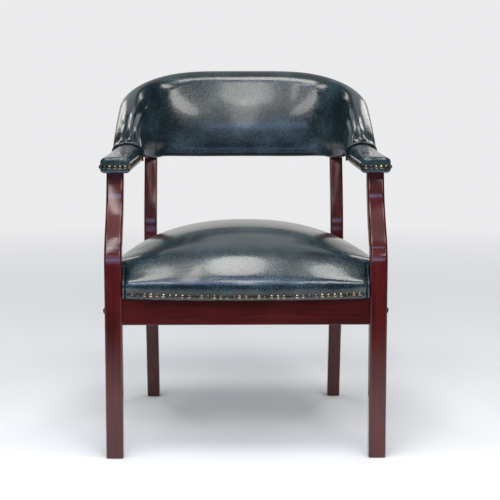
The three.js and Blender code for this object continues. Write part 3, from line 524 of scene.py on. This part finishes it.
def skinned(name, rings):
    """Mesh over rings of equally many points, each end closed round its middle."""
    count = len(rings[0])
    points = [p for ring in rings for p in ring]
    faces = []
    for r in range(len(rings) - 1):
        for i in range(count):
            a, b = r * count + i, r * count + (i + 1) % count
            faces.append((a, b, b + count, a + count))
    for first, flip in ((0, True), ((len(rings) - 1) * count, False)):
        points.append(sum((points[first + i] for i in range(count)), Vector()) / count)
        for i in range(count):
            ends = (first + i, first + (i + 1) % count)
            faces.append((len(points) - 1, *(ends[::-1] if flip else ends)))
    return new_solid(name, points, faces)


def apply_last(piece, modifier):
    only(piece)
    bpy.ops.object.modifier_apply(modifier=modifier.name)


def remesh(piece, size):
    voxels = piece.modifiers.new("voxels", "REMESH")
    voxels.mode = "VOXEL"
    voxels.voxel_size = size * mm
    apply_last(piece, voxels)


def relax(piece, times, wanted):
    """Even out a piece's surface, as far as wanted() says for each point from 0 to 1."""
    evened = piece.modifiers.new("evened", "SMOOTH")
    evened.factor, evened.iterations = 0.5, times
    group = piece.vertex_groups.new(name="evened")
    for v in piece.data.vertices:
        if wanted(v.co) > 0:
            group.add([v.index], float(wanted(v.co)), "REPLACE")
    evened.vertex_group = group.name
    apply_last(piece, evened)
    piece.vertex_groups.clear()


def inflate(piece, held, cap, pressure, frames):
    """Cloth simulation of a stuffed cover: pressure swells it, held() gives how firmly each point
    stays (0 free, 1 held), and points move only outward and no further than the cap."""
    before = [(v.co.copy(), v.normal.copy()) for v in piece.data.vertices]
    group = piece.vertex_groups.new(name="held")
    for v in piece.data.vertices:
        weight = held(v.co)
        if weight > 0:
            group.add([v.index], weight, "REPLACE")
    cloth = piece.modifiers.new("stuffing", "CLOTH")
    cloth.settings.quality = 4
    cloth.settings.mass = 0.3
    cloth.settings.tension_stiffness = cloth.settings.compression_stiffness = 12
    cloth.settings.shear_stiffness = 5
    cloth.settings.bending_stiffness = 0.6
    cloth.settings.use_pressure = True
    cloth.settings.uniform_pressure_force = pressure
    cloth.settings.effector_weights.gravity = 0
    cloth.settings.vertex_group_mass = group.name
    cloth.collision_settings.use_collision = False
    cloth.point_cache.frame_start, cloth.point_cache.frame_end = 1, frames
    scene = bpy.context.scene
    for number in range(1, frames + 1):
        scene.frame_set(number)
    apply_last(piece, cloth)
    scene.frame_set(1)
    for v, (old, out) in zip(piece.data.vertices, before):
        swell = min(cap * mm, max(0, (v.co - old).dot(out)))
        v.co = old + out * swell
    piece.vertex_groups.clear()


def plan(inset):
    """Outline of the seat in plan, drawn in by an inset."""
    across, deep = 72, 48
    half, rear_half = seat_half(seat_front) - inset, seat_half(seat_rear) - inset
    front, rear = seat_front + inset, seat_rear - inset
    line = []
    for i in range(across):
        x = half * (2 * i / across - 1)
        line.append((x, front - seat_bow * (1 - (x / half) ** 2)))
    line += [(half + (rear_half - half) * i / deep, front + (rear - front) * i / deep) for i in range(deep)]
    line += [(rear_half * (1 - 2 * i / across), rear) for i in range(across)]
    line += [(-half - (rear_half - half) * (1 - i / deep), front + (rear - front) * (1 - i / deep))
             for i in range(deep)]
    return line


def seat_form(name, inset, low):
    """Whole form of the cushion, drawn in and lowered by an inset."""
    rings = [[spot(x, y, low) for x, y in plan(hem_in + inset)],
             [spot(x, y, seat_low + hem_height) for x, y in plan(hem_in + inset)],
             [spot(x, y, seat_low + side_start) for x, y in plan(inset - side_out)]]
    centre = (seat_front - seat_bow + seat_rear) / 2
    for i in range(crown_rings):
        share = 1 - (i / crown_rings) ** 1.6
        places = [(x * share, centre + (y - centre) * share) for x, y in plan(inset)]
        rings.append([spot(x, y, seat_height(x, y) - inset) for x, y in places])
    return skinned(name, rings)


def leg_rooms(clearance):
    """The room of the four legs, to be cut out of the cushion."""
    low, rear_start, ahead, after, outer = 280, 250, -60, 620, 320
    front = [(leg_depth + clearance, low)] + [(p.x + clearance, p.y) for p in bezier(leg_back, 12)]
    front += [(ahead, leg_back[-1][1]), (ahead, low)]
    rear = bezier(rear_low, 12) + bezier(rear_high, 10)[1:]
    rear = [(p.x - clearance, p.y) for p in rear if p.y > rear_start]
    rear += [(after, rear[-1][1]), (after, rear[0][1])]
    points, faces = [], []
    for side in (-1, 1):
        for outline, spread, width in ((front, leg_spread, leg_width), (rear, rear_spread, rear_width)):
            base, n = len(points), len(outline)
            for x in (side * (spread / 2 - width / 2 - clearance), side * outer):
                points += [spot(x, y, z) for y, z in outline]
            faces += [tuple(range(base, base + n)), tuple(range(base + 2 * n - 1, base + n - 1, -1))]
            faces += [(base + i, base + n + i, base + n + (i + 1) % n, base + (i + 1) % n) for i in range(n)]
    return new_solid("leg_rooms", points, faces)


def carve(piece, tool):
    """Cut a tool's solid out of a piece and delete the tool."""
    gouge = piece.modifiers.new("carve", "BOOLEAN")
    gouge.operation = "DIFFERENCE"
    gouge.object = tool
    gouge.solver = "EXACT"
    apply_last(piece, gouge)
    bpy.data.objects.remove(tool)


def vinyl_material(name, crinkle=1):
    """Glossy vinyl with an antique finish: near-black ground rubbed with blue-green in a mottled
    haze, fine crinkled grain and a hard shine."""
    vinyl, tree, place, skin = new_material(name)
    haze = noise(tree, place, 15, 5, 0.62)
    mottle = blend(tree, 0.55, haze, noise(tree, place, 480, 3))
    tint = [(0.38, (0.003, 0.0068, 0.0096)), (0.5, (0.01, 0.0195, 0.0245)), (0.66, (0.036, 0.068, 0.076))]
    warp = add(tree, "TexNoise", "Color", {"Vector": place, "Scale": 160})
    bend = {0: warp, 1: (0.004, 0.004, 0.004), 2: place}
    bent = add(tree, "VectorMath", 0, bend, operation="MULTIPLY_ADD")
    cells = add(tree, "TexVoronoi", "Distance", {"Vector": bent, "Scale": 230}, feature="DISTANCE_TO_EDGE")
    folds = noise(tree, place, 95, 5, 0.6)
    grain = add(tree, "Math", 0, {0: cells, 1: 0.5, 2: folds}, operation="MULTIPLY_ADD")
    set_inputs(skin, {
        "Base Color": ramp(tree, mottle, tint), "Roughness": between(tree, haze, 0.15, 0.24),
        "Normal": bumps(tree, grain, 0.3 * crinkle, 0.0013),
        "Specular IOR Level": 0.6, "Coat Weight": 0.55, "Coat Roughness": 0.09})
    return vinyl


def on_crown(p):
    return p.z > crown_start * mm


# Where each change begins and how far it takes: of the hold upward from the hem, and beside the
# welts outward and back, and of the rounded front edge from below to above, back and outward
held_up, held_out, held_back = (seat_low + hem_height + 2, 18), (185, 50), (60, 70)
edge_low, edge_high, edge_back, edge_out = (352, 12), (400, 40), (0, 45), (205, 40)


def seat_hold(p):
    """Tacked along the hem, sewn to the welts beside the legs, free on the crown."""
    corner = smooth(abs(p.x) / mm, *held_out) * (1 - smooth((p.y - front_face) / mm, *held_back))
    return max(corner, 1 - smooth(p.z / mm, *held_up))


def front_edge(p):
    """The cushion's rounded front edge, between the hem and the crown and clear of the legs."""
    return (smooth(p.z / mm, *edge_low) * (1 - smooth(p.z / mm, *edge_high))
            * (1 - smooth((p.y - front_face) / mm, *edge_back)) * (1 - smooth(abs(p.x) / mm, *edge_out)))


seat_vinyl = vinyl_material("vinyl_seat")
cushion = seat_form("cushion", cover_gap, seat_low)
carve(cushion, leg_rooms(leg_room + cover_gap))
remesh(cushion, 4)
relax(cushion, 10, on_crown)
inflate(cushion, seat_hold, seat_cap, pressure=3, frames=20)
relax(cushion, 4, on_crown)
relax(cushion, 45, front_edge)
# The hem hangs a little in front of the front rail, and comes down to the other rails' tops
hem_top, hem_drop, hem_front, rails_top = 349, 2.4, 9, 345.1
for v in cushion.data.vertices:
    if v.co.z < hem_top * mm:
        v.co.z -= hem_drop * mm
        if v.co.y > front_face + hem_front * mm:
            v.co.z = max(rails_top * mm, v.co.z)


def hollow_out(piece, below, wall):
    """Open a closed form below and give its skin a wall inward."""
    only(piece)
    bpy.ops.object.mode_set(mode="EDIT")
    choose(piece, "FACE", lambda f: f.normal.z < -0.6 and f.calc_center_median().z < below * mm)
    bpy.ops.mesh.delete(type="FACE")
    bpy.ops.object.mode_set(mode="OBJECT")
    shell = piece.modifiers.new("wall", "SOLIDIFY")
    shell.thickness = wall * mm
    shell.offset = -1
    apply_last(piece, shell)


hollow_out(cushion, seat_low + 2.5, cover_wall)
settle(cushion)
bpy.ops.object.shade_smooth()
cushion.data.materials.append(seat_vinyl)
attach(cushion, "root")
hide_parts("seat_cover")

# Seat padding, board and dust cloth: a block of foam under the cover, the plywood board that it
# is glued to, and a black cloth tacked under the board.
foam_gap, foam_low = 5.5, 357.9
foam, tree, place, skin = new_material("foam")
pips = add(tree, "TexVoronoi", "Distance", {"Vector": place, "Scale": 500})
set_inputs(skin, {
    "Base Color": ramp(tree, pips, [(0, (0.5, 0.43, 0.25)), (1, (0.78, 0.7, 0.47))]),
    "Normal": bumps(tree, pips, 0.5, 0.0006), "Roughness": 0.95})
padding = seat_form("padding", foam_gap, foam_low)
carve(padding, leg_rooms(leg_room + foam_gap))
remesh(padding, 9)
relax(padding, 3, on_crown)
relax(padding, 12, front_edge)
settle(padding)
bpy.ops.object.shade_smooth()
padding.data.materials.append(foam)
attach(padding, "root")
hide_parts("seat_foam")

ply, tree, place, skin = new_material("ply")
veneer = add(tree, "Mapping", "Vector", {"Vector": place, "Scale": (70, 6, 900)})
birch = [(0.35, (0.24, 0.14, 0.065)), (0.65, (0.46, 0.3, 0.15))]
set_inputs(skin, {"Base Color": ramp(tree, noise(tree, veneer, 1, 6), birch), "Roughness": 0.65})
for node in ("seat_board", "back_core", "arm_rail_left", "arm_rail_right",
             "arm_dowel_left", "arm_dowel_right", "back_dowel_left", "back_dowel_right"):
    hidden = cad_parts[node]
    hidden.data.materials.clear()
    hidden.data.materials.append(ply)

black_cloth, tree, place, skin = new_material("black_cloth")
threads = add(tree, "TexWave", "Fac", {"Vector": place, "Scale": 260, "Distortion": 1.5, "Detail": 2})
set_inputs(skin, {
    "Base Color": ramp(tree, threads, [(0, (0.006, 0.006, 0.006)), (1, (0.022, 0.022, 0.023))]),
    "Normal": bumps(tree, threads, 0.4, 0.0004), "Roughness": 0.95})
underside = board("underside", "dust_cloth", ease=0.2, long_enough=3000)
underside.data.materials.append(black_cloth)
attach(underside, "root")
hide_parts("dust_cloth")

# Seat welts: piping of the same vinyl down the cushion's front corners beside the legs, where the
# front strip of the cover is sewn to its top.
welt_radius, seam_gap, bend_round = 2.2, 0.3, 14
welt_vinyl = vinyl_material("vinyl_welt", 0.6)


def piping(name, points, cuts=8):
    """Round cord of vinyl along a smooth line of points."""
    line = bpy.data.curves.new(name, "CURVE")
    line.dimensions = "3D"
    line.bevel_depth = welt_radius * mm
    line.bevel_resolution = 4
    line.resolution_u = cuts
    line.use_fill_caps = True
    spline = line.splines.new("BEZIER")
    spline.bezier_points.add(len(points) - 1)
    for knot, p in zip(spline.bezier_points, points):
        knot.co = p
        knot.handle_left_type = knot.handle_right_type = "AUTO"
    cord = bpy.data.objects.new(name, line)
    bpy.context.scene.collection.objects.link(cord)
    only(cord)
    bpy.ops.object.convert(target="MESH")
    cord = bpy.context.object
    outward(cord)
    bpy.ops.object.shade_smooth()
    return cord


cushion_side = leg_spread / 2 - leg_width / 2 - leg_room
for hand, side in hands:
    x = cushion_side + seam_gap + welt_radius
    front = front_line(cushion_side) + welt_radius
    bend = seat_height(cushion_side, front + bend_round) - bend_round
    low = seat_low + welt_radius

    def over(y):
        return spot(side * x, y, seat_height(cushion_side, y) - welt_radius)

    welt = piping(f"welt_seat_{hand}", [
        spot(side * x, front + 2, low), spot(side * x, front - 0.75, (low + bend) / 2),
        spot(side * x, front, bend), over(front + bend_round / 2), over(front + 2 * bend_round),
        over(leg_depth)])
    welt.data.materials.append(welt_vinyl)
    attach(welt, "root")
    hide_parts(f"seat_welt_{hand}")

# Seat nails: a row of separate domed brass tacks along the front hem, hand driven, so that each
# sits a little differently, tarnished to different shades, and with painted shade darkening each rim.
nail_radius, nail_height, nail_out, nail_sunk = 4.7, 2.4, 0.3, 0.25
row_half, row_low, row_lift, seat_pitch = 245, 6.5, 4, 13.3
random.seed(7)
brass, tree, place, skin = new_material("old_brass_rim_shaded")
age = blend(tree, 0.3, noise(tree, place, 62, 1), noise(tree, place, 700, 4))
tarnish = [(0.38, (0.06, 0.045, 0.035)), (0.5, (0.26, 0.19, 0.12)), (0.62, (0.62, 0.48, 0.28))]
patina = ramp(tree, age, tarnish)
# Painted shade: each head's colour turns near black towards its rim, standing in for the contact shadow
# where the dome meets the vinyl
dome = add(tree, "Attribute", "Fac", {}, attribute_name="crown")
rim_shade_mask = add(tree, "MapRange", "Result", {"Value": dome, "From Min": 0.15, "From Max": 0.75, "To Min": 0.05})
rim_shade_colour = (0.012, 0.012, 0.012, 1)
patina_with_rim_shade = add(tree, "Mix", "Result", {"Factor": rim_shade_mask, "A": rim_shade_colour, "B": patina}, data_type="RGBA")
set_inputs(skin, {"Base Color": patina_with_rim_shade, "Roughness": between(tree, age, 0.34, 0.16), "Metallic": 1})

bpy.ops.object.select_all(action="DESELECT")
bpy.ops.mesh.primitive_uv_sphere_add(segments=12, ring_count=10, radius=nail_radius * mm)
nail_head = name_new("nail_head")
bpy.ops.object.mode_set(mode="EDIT")
bpy.ops.mesh.select_all(action="SELECT")
bpy.ops.mesh.bisect(plane_co=(0, 0, 0), plane_no=(0, 0, 1), use_fill=True, clear_inner=True)
bpy.ops.mesh.select_all(action="SELECT")
bpy.ops.transform.resize(value=(1, 1, nail_height / nail_radius), center_override=(0, 0, 0))
bpy.ops.object.mode_set(mode="OBJECT")
crown = nail_head.data.attributes.new("crown", "FLOAT", "POINT")
for v, value in zip(nail_head.data.vertices, crown.data):
    value.value = v.co.z / (nail_height * mm)


def nail_row(name, places):
    """Copies of the nail head at places, each a point and the way out of the wall, joined."""
    copies = []
    for point, out in places:
        nail = bpy.data.objects.new(name, nail_head.data.copy())
        bpy.context.scene.collection.objects.link(nail)
        lean = Vector((random.uniform(-0.07, 0.07) for _ in range(3)))
        turn = (out.normalized() + lean).to_track_quat("Z", "Y").to_matrix().to_4x4()
        nail.matrix_world = turn
        nail.location = point - out.normalized() * nail_sunk * mm
        nail.scale = (random.uniform(0.96, 1.03),) * 3
        copies.append(nail)
    bpy.ops.object.select_all(action="DESELECT")
    for nail in copies:
        nail.select_set(True)
    bpy.context.view_layer.objects.active = copies[0]
    bpy.ops.object.join()
    row = name_new(name)
    settle(row)
    bpy.ops.object.shade_smooth_by_angle(angle=math.radians(60))
    return row


def along(line, pitch, inset):
    """Even places along a line in plan: each a point, and the way out on its right."""
    reach = [0.0]
    for a, b in zip(line, line[1:]):
        reach.append(reach[-1] + (Vector(b) - Vector(a)).length)
    count = int((reach[-1] - 2 * inset) // pitch)
    first = (reach[-1] - count * pitch) / 2
    spots_found = []
    for k in range(count + 1):
        d = first + k * pitch
        i = max(j for j in range(len(reach) - 1) if reach[j] <= d)
        a, b = Vector(line[i]), Vector(line[i + 1])
        way = (b - a).normalized()
        spots_found.append((a + way * (d - reach[i]), Vector((way.y, -way.x))))
    return spots_found


seat_line = [(x, front_line(x) + hem_in)
             for x in (-row_half + 2 * row_half * i / 120 for i in range(121))]
seat_places = []
for (x, y), out in along(seat_line, seat_pitch, nail_radius):
    level = seat_low + row_low + row_lift * (x / row_half) ** 2 + random.uniform(-0.4, 0.4)
    out = Vector((out.x, out.y, 0))
    seat_places.append((spot(x, y, level) + out * nail_out * mm, out))
row = nail_row("nails_seat", seat_places)
row.data.materials.append(brass)
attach(row, "root")
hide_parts("seat_nails")

# Arms: a padded pad of the seat's vinyl over a wooden rail, rounded in front, rising a little to
# the wing, with a row of brass nails along both sides and round the front.
arm_low, arm_thick, arm_front, cuff = 600.5, 33, 68, 268
arm_spread, arm_width = ((arm_front, 552), (cuff, 518)), ((arm_front, 64), (cuff, 60.5))
arm_round, arm_crown, cuff_crown, crown_run = 9, 2.5, 11, 110
pad_gap, pad_cap, arm_pitch, row_end = 0.4, 2, 10.9, cuff - 5
nose_run, nose_side, nose_high = 7, 15, 7
arm_vinyl = vinyl_material("vinyl_arm", 0.6)


def arm_middle(y):
    return sloped(y, *arm_spread) / 2


def arm_half(y):
    return sloped(y, *arm_width) / 2


def arc(cn, cz, rn, rz, start, end, steps):
    turns = [math.radians(start + (end - start) * i / steps) for i in range(steps + 1)]
    return [(cn + rn * math.cos(a), cz + rz * math.sin(a)) for a in turns]


def arm_section(y, grow, grow_high):
    """Outline of the pad across the arm, from its outer side over the top and back below."""
    half = arm_half(y) + grow
    low, high = arm_low - grow_high, arm_low + arm_thick + grow_high
    r = arm_round
    rise = arm_crown + (cuff_crown - arm_crown) * smooth(y, cuff - crown_run, crown_run)
    top = arc(half - r, high - r, r, r, 0, 90, 6)
    top += [((half - r) * (1 - i / 9), high) for i in range(1, 18)]
    top += arc(r - half, high - r, r, r, 90, 180, 6)
    top = [(n, z + rise * (1 - (n / half) ** 2)) for n, z in top]
    low_round = arc(r - half, low + r, r, r, 180, 270, 6)
    flat = [((r - half) * (1 - i / 6), low) for i in range(1, 12)]
    walls = [(-half, high - r + (low - high + 2 * r) * i / 5) for i in range(1, 5)]
    back_up = [(half, low + r + (high - low - 2 * r) * i / 5) for i in range(1, 5)]
    return top + walls + low_round + flat + arc(half - r, low + r, r, r, 270, 360, 6) + back_up


nail_level = arm_low + 14
dent_deep, dent_wide, dent_reach = 1.1, 5.5, 22
pleat_low, pleat_mid, pleat_high, pleat_gap = 13, 7, 0.9, 9
# The rounded front end, as steps of the depth and of how far the outline is drawn in there
nose = [(arm_front + nose_run * (1 - math.cos(a)), 1 - math.sin(a))
        for a in (math.pi / 2 * i / 8 for i in range(9))]
length = cuff - seam_gap - arm_front - nose_run
pad_steps = nose + [(arm_front + nose_run + length * i / 39, 0) for i in range(1, 40)]
edge = [(y, arm_half(y) - nose_side * drawn) for y, drawn in nose] + [(row_end, arm_half(row_end))]
nail_line = [(arm_middle(y) - half, y) for y, half in reversed(edge)]
nail_line += [(arm_middle(y) + half, y) for y, half in edge]
for hand, side in hands:
    pad = skinned(f"pad_{hand}", [
        [spot(side * arm_middle(y) + n, y, z)
         for n, z in arm_section(y, -nose_side * drawn - pad_gap, -nose_high * drawn - pad_gap)]
        for y, drawn in pad_steps])
    finer = pad.modifiers.new("finer", "SUBSURF")
    finer.levels = finer.render_levels = 1
    apply_last(pad, finer)
    inflate(pad, lambda p: 1 - smooth(p.z / mm, nail_level + 3, 8), pad_cap, pressure=5, frames=12)
    arm_places = []
    for (x, y), out in along(nail_line, arm_pitch, nail_radius):
        out = Vector((side * out.x, out.y, 0))
        level = nail_level + random.uniform(-0.3, 0.3)
        arm_places.append((spot(side * x, y, level) + out * nail_out * mm, out))
    # Vinyl pulled in under each nail and swelling between them, and pleated below the row
    normals = [v.normal.copy() for v in pad.data.vertices]
    for v, normal in zip(pad.data.vertices, normals):
        away = v.co.z / mm - nail_level
        if abs(away) > dent_reach:
            continue
        near = min((v.co - p).length for p, _ in arm_places) / mm
        dent = dent_deep * math.exp(-(near / dent_wide) ** 2)
        if -pleat_low < away < 0:
            pleat = pleat_high * math.exp(-((away + pleat_mid) / 4) ** 2)
            dent -= pleat * (1 - math.exp(-(near / pleat_gap) ** 2))
        v.co -= normal * dent * mm
    settle(pad)
    bpy.ops.object.shade_smooth()
    pad.data.materials.append(arm_vinyl)
    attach(pad, "root")
    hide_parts(f"arm_pad_{hand}")
    row = nail_row(f"nails_arm_{hand}", arm_places)
    row.data.materials.append(brass)
    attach(row, "root")
    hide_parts(f"arm_nails_{hand}")
bpy.data.objects.remove(nail_head)

# Back: foam over a bent plywood core in one piece of vinyl that wraps round the sitter, rolled
# over the top, gathered into pleats where it runs down to each arm, and pulled tight in between.
back_low, back_high, back_set, back_thick = 588, 787, 545, 48
cuff_low, cuff_high, wing_thick = 602, 652, 69
wing_half, corner_radius, rise_length = 260, 95, 405
core_thick, panel_thick, roll_share, roll_low = 12, 2.7, 0.47, 4
back_gap, slot_gap, slot_low, hem_round, panel_round = 0.4, 0.6, 8, 2.5, 0.8
rise_shares = [0, 0.157, 0.3, 0.437, 0.572, 0.702, 0.818, 0.908, 0.966, 0.992, 1]
back_vinyl = vinyl_material("vinyl_back")


def rise_line(share):
    """Smooth curve through the back's rise, which the shares give at equal steps."""
    last = len(rise_shares) - 1
    t = min(share, 1) * last
    i = min(int(t), last - 1)
    t -= i
    p0, p1, p2, p3 = (rise_shares[max(0, min(last, i + k))] for k in (-1, 0, 1, 2))
    v0, v1 = (p2 - p0) / 2, (p3 - p1) / 2
    return (2 * p1 - 2 * p2 + v0 + v1) * t ** 3 + (-3 * p1 + 3 * p2 - 2 * v0 - v1) * t * t + v0 * t + p1


def back_stations(pitch):
    """Places along the middle of the back from the right cuff to the left one: along the wing,
    round the corner and over the flatter arc, then mirrored."""
    turn, splay = math.radians(80), math.radians(1)
    flat = (1 - math.sin(turn)) / math.cos(turn)
    wing_run = back_set - corner_radius + corner_radius * math.sin(splay) - cuff
    corner_x = ((wing_half - corner_radius * math.cos(splay) - math.tan(splay) * wing_run)
                / (1 - math.tan(splay) * flat))
    corner_y = back_set - corner_radius - corner_x * flat
    arc_radius = corner_x / math.cos(turn) + corner_radius
    wing = (corner_y + corner_radius * math.sin(splay) - cuff) / math.cos(splay)
    corner = corner_radius * (turn - splay)
    sweep = arc_radius * (math.pi / 2 - turn)
    line = []
    for i in range(round(wing / pitch)):
        s = wing * i / round(wing / pitch)
        line.append((wing_half - s * math.sin(splay), cuff + s * math.cos(splay), splay if i else 0, s))
    for i in range(round(corner / pitch)):
        a = splay + (turn - splay) * i / round(corner / pitch)
        line.append((corner_x + corner_radius * math.cos(a), corner_y + corner_radius * math.sin(a), a,
                     wing + corner_radius * (a - splay)))
    for i in range(round(sweep / pitch) + 1):
        a = turn + (math.pi / 2 - turn) * i / round(sweep / pitch)
        line.append((arc_radius * math.cos(a), back_set - arc_radius * (1 - math.sin(a)), a,
                     wing + corner + arc_radius * (a - turn)))
    stations = []
    for mirror in (1, -1):
        part = line if mirror > 0 else line[-2::-1]
        for x, y, a, s in part:
            grown = smooth(s, 0, rise_length)
            stations.append({
                "x": mirror * x, "y": y, "nx": mirror * math.cos(a), "ny": math.sin(a),
                "s": s, "side": mirror,
                "bottom": cuff_low + (back_low - cuff_low) * grown,
                "top": cuff_high + (back_high - cuff_high) * rise_line(s / rise_length),
                "thick": wing_thick + (back_thick - wing_thick) * grown,
                "lean": 0.2 * smooth(s, 90, 260)})
    return stations


def placed(station, n, z):
    return spot(station["x"] + station["nx"] * n,
                station["y"] + station["ny"] * n + station["lean"] * (z - station["bottom"]), z)


def cover_outline(station):
    """Outline of the cover across the back, from its outer side over the top and down inside."""
    bottom, top = station["bottom"] + back_gap, station["top"] - back_gap
    thick = station["thick"] - 2 * back_gap
    half, roll = thick / 2, roll_share * thick
    share_high = min(1, (top - bottom) / (back_high - back_low))
    wing = 1 - smooth(station["s"], 190, 170)
    inner, high = thick - roll - 1.5, min(roll + 6 + 64 * wing, 0.62 * (top - bottom))
    under_high, under_deep = min(32, 0.75 * (top - high - bottom)), 13 + 3 * share_high
    points = [(half, top - roll - roll_low)]
    points += arc(half - roll, top - roll, roll, roll, 0, 90, 34)
    points += arc(inner - half, top - high, inner, high, 90, 168, 62)
    (from_n, from_z), (to_n, to_z) = points[-1], (-half, bottom + under_high * 0.8)
    for i in range(1, 40):
        share = i / 40
        points.append((from_n + (to_n - from_n) * share - 5 * share_high * math.sin(math.pi * share),
                       from_z + (to_z - from_z) * share))
    points += arc(under_deep - half, bottom + under_high, under_deep, under_high, 192, 270, 12)
    return points


def folded(station, points):
    """The outline with the pleats of the wing worked into it: each a ridge with a groove beside."""
    reach = [0.0]
    for a, b in zip(points, points[1:]):
        reach.append(reach[-1] + math.hypot(b[0] - a[0], b[1] - a[1]))
    drawn = []
    for i, (n, z) in enumerate(points):
        before, after = points[max(i - 1, 0)], points[min(i + 1, len(points) - 1)]
        along_n, along_z = after[0] - before[0], after[1] - before[1]
        length = math.hypot(along_n, along_z) or 1
        out = fold_height(station, reach[i])
        drawn.append((n + along_z / length * out, z - along_n / length * out))
    return drawn


# Lines of the pleats, each with its height: pairs of the run along the wing and the reach round
# it from its outer side, in millimetres
pleats = {
    -1: (([(0, 43), (22, 45), (60, 47), (92, 43), (140, 44)], 1.8),
         ([(0, 62), (38, 60), (82, 60), (150, 65)], 2.6),
         ([(0, 84), (34, 74), (60, 73), (104, 77), (194, 101), (262, 108)], 3)),
    1: (([(0, 50), (20, 54), (60, 57), (116, 56)], 2.2),
        ([(0, 74), (22, 72), (56, 70), (100, 71), (168, 75)], 2.8),
        ([(0, 92), (16, 87), (56, 83), (94, 87), (196, 113)], 1.8))}
pleat_rise, pleat_end, pleat_width, groove_away, groove_share = 1.4, 70, 4.2, 9, 0.55


def fold_height(station, reach):
    height, s = 0, station["s"]
    for line, strength in pleats[station["side"]]:
        if s > line[-1][0]:
            continue
        for start, end in zip(line, line[1:]):
            if start[0] <= s <= end[0]:
                away = reach - sloped(s, start, end)
        ridge = math.exp(-(away / pleat_width) ** 2)
        groove = math.exp(-((abs(away) - groove_away) / pleat_width) ** 2)
        ends = smooth(line[-1][0] - s, 0, pleat_end)
        height += pleat_rise * strength * ends * (ridge - groove_share * groove)
    return height


def cover_section(station):
    """The cover's outline, closed at the outside by the slot for core and panel."""
    points = folded(station, cover_outline(station))
    bottom = station["bottom"] + back_gap
    half = station["thick"] / 2 - back_gap
    slot = half + back_gap - core_thick - panel_thick - slot_gap
    inside_top = points[0][1]
    first = points[-1][0]
    points += [(first + (half - hem_round - first) * i / 5, bottom) for i in range(1, 6)]
    points += [(half, bottom + hem_round), (half, bottom + slot_low), (slot, bottom + slot_low),
               (slot, (bottom + slot_low + inside_top) / 2), (slot, inside_top)]
    return points


stations = back_stations(5)
post_front = spot(0, 511, 0).y
post_hem_wide, post_hem_high, post_hem_down, post_hem_ahead = 26, 22, 2.9, 1.6
rings, insides = [], []
for station in stations:
    section = cover_section(station)
    ring = [placed(station, n, z) for n, z in section]
    insides.append([smooth(-n, 0, 12) * smooth(z - station["bottom"], 8, 30) * smooth(station["s"], 110, 70)
                    for n, z in section])
    # The hem comes down over the posts and in front of them
    near = math.exp(-((abs(station["x"]) - rear_spread / 2) / post_hem_wide) ** 2)
    for p in ring:
        low = 1 - smooth(p.z / mm, station["bottom"] + 2, post_hem_high)
        p.z -= near * low * (post_hem_down + (post_hem_ahead if p.y < post_front else 0)) * mm
    rings.append(ring)


def swept(row, place, spread=24):
    """A point of the inside, drawn towards its neighbours along the back so that the foam fills
    the turn from the wing into the arc."""
    share = insides[row][place]
    if not share:
        return rings[row][place]
    total, weight = Vector(), 0
    for other in range(max(0, row - 10), min(len(rings), row + 11)):
        p = rings[other][place]
        near = math.exp(-0.5 * ((p - rings[row][place]).length / (spread * mm)) ** 2)
        total, weight = total + p * near, weight + near
    return rings[row][place].lerp(total / weight, share)


eased = [[swept(row, place) for place in range(len(ring))] for row, ring in enumerate(rings)]
back = skinned("back_padded", eased)
settle(back)
bpy.ops.object.shade_smooth_by_angle(angle=math.radians(55))
back.data.materials.append(back_vinyl)
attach(back, "root")
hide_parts("back_cover")

# Outside back: a stiff panel covered in the same vinyl, bent round from cuff to cuff and tacked
# over the core from behind.
outside_vinyl = vinyl_material("vinyl_outside", 0.8)
outside_rings = []
for station in stations:
    half = station["thick"] / 2
    low = station["bottom"] + slot_low + seam_gap
    high = station["top"] - roll_share * station["thick"] - roll_low - seam_gap
    outline = [(half - panel_thick, low), (half - panel_round, low), (half, low + 1)]
    outline += [(half, low + 1 + (high - low - 2) * i / 16) for i in range(1, 17)]
    outline += [(half - panel_round, high), (half - panel_thick, high)]
    outside_rings.append([placed(station, n, z) for n, z in outline])
outside = skinned("back_outside", outside_rings)
settle(outside)
bpy.ops.object.shade_smooth_by_angle(angle=math.radians(50))
outside.data.materials.append(outside_vinyl)
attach(outside, "root")
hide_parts("outside_back")

# Cuff welts: piping that arches over each arm and hides the edge of the wing's cover, a cord in a
# strip of the same vinyl, sewn to that edge.
for hand, side in hands:
    y = cuff - seam_gap - welt_radius
    room = welt_radius + 0.6
    top = [(n, z) for n, z in arm_section(y, room, room)[:31] if z > arm_low + arm_thick - arm_round]
    outer, foot = top[0][0], arm_low + 6
    waist = (foot + top[0][1]) / 2
    path = [(outer, foot), (outer, waist), *top[::2], (-outer, waist), (-outer, foot)]
    welt = piping(f"welt_cuff_{hand}", [spot(side * arm_middle(y) + n, y, z) for n, z in path], 3)
    welt.data.materials.append(welt_vinyl)
    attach(welt, "root")
    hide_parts(f"cuff_welt_{hand}")
